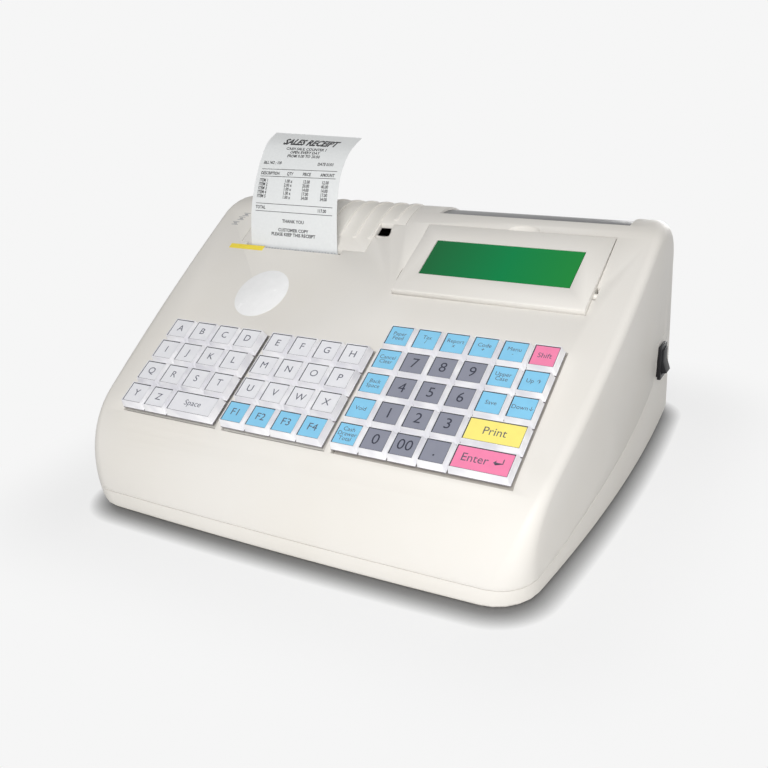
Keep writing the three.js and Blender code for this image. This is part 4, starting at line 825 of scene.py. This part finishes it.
def mark_bar(across, up, length, width):
    """One bar of a mark, about its centre on the deck."""
    return box_between(
        (across - length / 2, up - width / 2, 0),
        (across + length / 2, up + width / 2, MARK_PROUD),
    )


marks = []
for across, up in STATUS_MARKS:
    for side in (-1, 1):
        marks.append(mark_bar(across, up + side * (MARK_WIDTH - MARK_LINE) / 2, MARK_LENGTH, MARK_LINE))
    marks.append(mark_bar(across, up, MARK_LENGTH / 2, 2 * MARK_LINE))
joined(marks)
marks[0].name = "status_marks"
set_on_deck(marks[0])
marks[0].data.materials.append(printing_ink_and_painted_shade("status_mark_ink", (0.3, 0.3, 0.31)))
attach(marks[0], "case")

# Floor, light and camera: a pale floor under a pale backdrop, an even sky, and two softboxes, to the right
# in front and behind. Seen directly, in gloss or through glass, floor and backdrop have one plain tone;
# near the object the floor keeps a share of its light and its shadow, and its plain tone is darkened by a
# painted shadow from occlusion where the case almost touches it.
BACKDROP_TONE = 0.921
FLOOR_SIZE = 120
FLOOR_TONE = 0.86
FLOOR_ROUGHNESS = 0.9
SKY_STRENGTH = 0.175
FOOTPRINT = (0.115, 0.105, 0)
SHADOW_NEAR = 0.015
SHADOW_FAR = 0.09
SHADOW_SHARE = 0.24
PAINTED_SHADOW_REACH = 0.011
PAINTED_SHADOW_POWER = 2.8
PAINTED_SHADOW_SAMPLES = 32


def calculated(tree, operation, first, second):
    """The result of an operation on two values, each a socket or a number."""
    node = tree.nodes.new("ShaderNodeMath")
    node.operation = operation
    for value, socket in zip((first, second), node.inputs):
        if isinstance(value, float):
            socket.default_value = value
        else:
            tree.links.new(value, socket)
    return node.outputs["Value"]


def seen_rays(tree):
    """One where the ray comes from the camera, a glossy surface or glass, and zero elsewhere."""
    path = tree.nodes.new("ShaderNodeLightPath")
    glossy = calculated(tree, "MAXIMUM", path.outputs["Is Camera Ray"], path.outputs["Is Glossy Ray"])
    return calculated(tree, "MAXIMUM", glossy, path.outputs["Is Transmission Ray"])


def mixed(tree, share, first, second):
    """A mix of two shaders."""
    mix = tree.nodes.new("ShaderNodeMixShader")
    tree.links.new(share, mix.inputs["Fac"])
    tree.links.new(first, mix.inputs[1])
    tree.links.new(second, mix.inputs[2])
    return mix.outputs["Shader"]


pale_floor, floor_tree, floor_surface = new_material("pale_floor")
floor_surface.inputs["Base Color"].default_value = (FLOOR_TONE, FLOOR_TONE, FLOOR_TONE, 1)
floor_surface.inputs["Roughness"].default_value = FLOOR_ROUGHNESS
floor_surface.inputs["Specular IOR Level"].default_value = 0
outside = floor_tree.nodes.new("ShaderNodeTexCoord").outputs["Object"]
for operation, operand in (
    ("ABSOLUTE", None),
    ("SUBTRACT", FOOTPRINT),
    ("MAXIMUM", (0, 0, 0)),
    ("LENGTH", None),
):
    step = floor_tree.nodes.new("ShaderNodeVectorMath")
    step.operation = operation
    floor_tree.links.new(outside, step.inputs[0])
    if operand:
        step.inputs[1].default_value = operand
    outside = step.outputs["Value" if operation == "LENGTH" else "Vector"]
fade = floor_tree.nodes.new("ShaderNodeMapRange")
fade.interpolation_type = "SMOOTHSTEP"
fade.inputs["From Min"].default_value = SHADOW_NEAR
fade.inputs["From Max"].default_value = SHADOW_FAR
fade.inputs["To Min"].default_value = 1 - SHADOW_SHARE
floor_tree.links.new(outside, fade.inputs["Value"])
# Painted shadow: the floor's plain tone is darkened by occlusion from the case, not by any lamp.
painted_shadow_occlusion = floor_tree.nodes.new("ShaderNodeAmbientOcclusion")
painted_shadow_occlusion.samples = PAINTED_SHADOW_SAMPLES
painted_shadow_occlusion.inputs["Distance"].default_value = PAINTED_SHADOW_REACH
painted_contact_shadow = calculated(floor_tree, "POWER", painted_shadow_occlusion.outputs["AO"], PAINTED_SHADOW_POWER)
plain_tone_with_painted_shadow = floor_tree.nodes.new("ShaderNodeEmission")
floor_tree.links.new(calculated(floor_tree, "MULTIPLY", painted_contact_shadow, BACKDROP_TONE), plain_tone_with_painted_shadow.inputs["Strength"])
plain_share = calculated(floor_tree, "MULTIPLY", seen_rays(floor_tree), fade.outputs["Result"])
floor_tree.links.new(
    mixed(floor_tree, plain_share, floor_surface.outputs["BSDF"], plain_tone_with_painted_shadow.outputs["Emission"]),
    floor_tree.nodes["Material Output"].inputs["Surface"],
)
bpy.ops.object.select_all(action="DESELECT")
bpy.ops.mesh.primitive_plane_add(size=FLOOR_SIZE, location=(FLOOR_SIZE / 4, 0, 0))
bpy.ops.object.transform_apply()
floor = bpy.context.object
floor.name = "floor"
floor.data.materials.append(pale_floor)

world = bpy.data.worlds.new("studio")
bpy.context.scene.world = world
world.use_nodes = True
world_tree = world.node_tree
sky = world_tree.nodes["Background"]
sky.inputs["Color"].default_value = (1, 1, 1, 1)
sky.inputs["Strength"].default_value = SKY_STRENGTH
backdrop = world_tree.nodes.new("ShaderNodeBackground")
backdrop.inputs["Color"].default_value = (BACKDROP_TONE, BACKDROP_TONE, BACKDROP_TONE, 1)
world_tree.links.new(
    mixed(world_tree, seen_rays(world_tree), sky.outputs["Background"], backdrop.outputs["Background"]),
    world_tree.nodes["World Output"].inputs["Surface"],
)

CAMERA_PLACE = Vector((249.29, -420.01, 249.72)) * MM
CAMERA_AXES = ((0.8665, 0.4950, -0.0642), (-0.1424, 0.3685, 0.9187), (0.4784, -0.7869, 0.3898))
CAMERA_LENS = 46.05
CAMERA_SENSOR = 36
CAMERA_NEAR = 0.01
camera_data = bpy.data.cameras.new("camera")
camera_data.lens = CAMERA_LENS
camera_data.sensor_width = CAMERA_SENSOR
camera_data.clip_start = CAMERA_NEAR
camera = bpy.data.objects.new("camera", camera_data)
bpy.context.collection.objects.link(camera)
camera.matrix_world = Matrix.Translation(CAMERA_PLACE) @ Matrix(CAMERA_AXES).transposed().to_4x4()
bpy.context.scene.camera = camera

LIGHT_TARGET = Vector((0, 0, 0.05))


def softbox(name, place, size, power):
    """A square studio light turned to the object."""
    data = bpy.data.lights.new(name, "AREA")
    data.shape = "SQUARE"
    data.size = size
    data.energy = power
    light = bpy.data.objects.new(name, data)
    bpy.context.collection.objects.link(light)
    light.location = place
    light.rotation_euler = (Vector(place) - LIGHT_TARGET).to_track_quat("Z", "Y").to_euler()


softbox("right_softbox", place=(0.4, -0.8, 0.6), size=0.35, power=9.1)
softbox("rear_softbox", place=(0.1, 1.25, 0.22), size=0.5, power=5)

bpy.context.scene.view_settings.view_transform = "Standard"
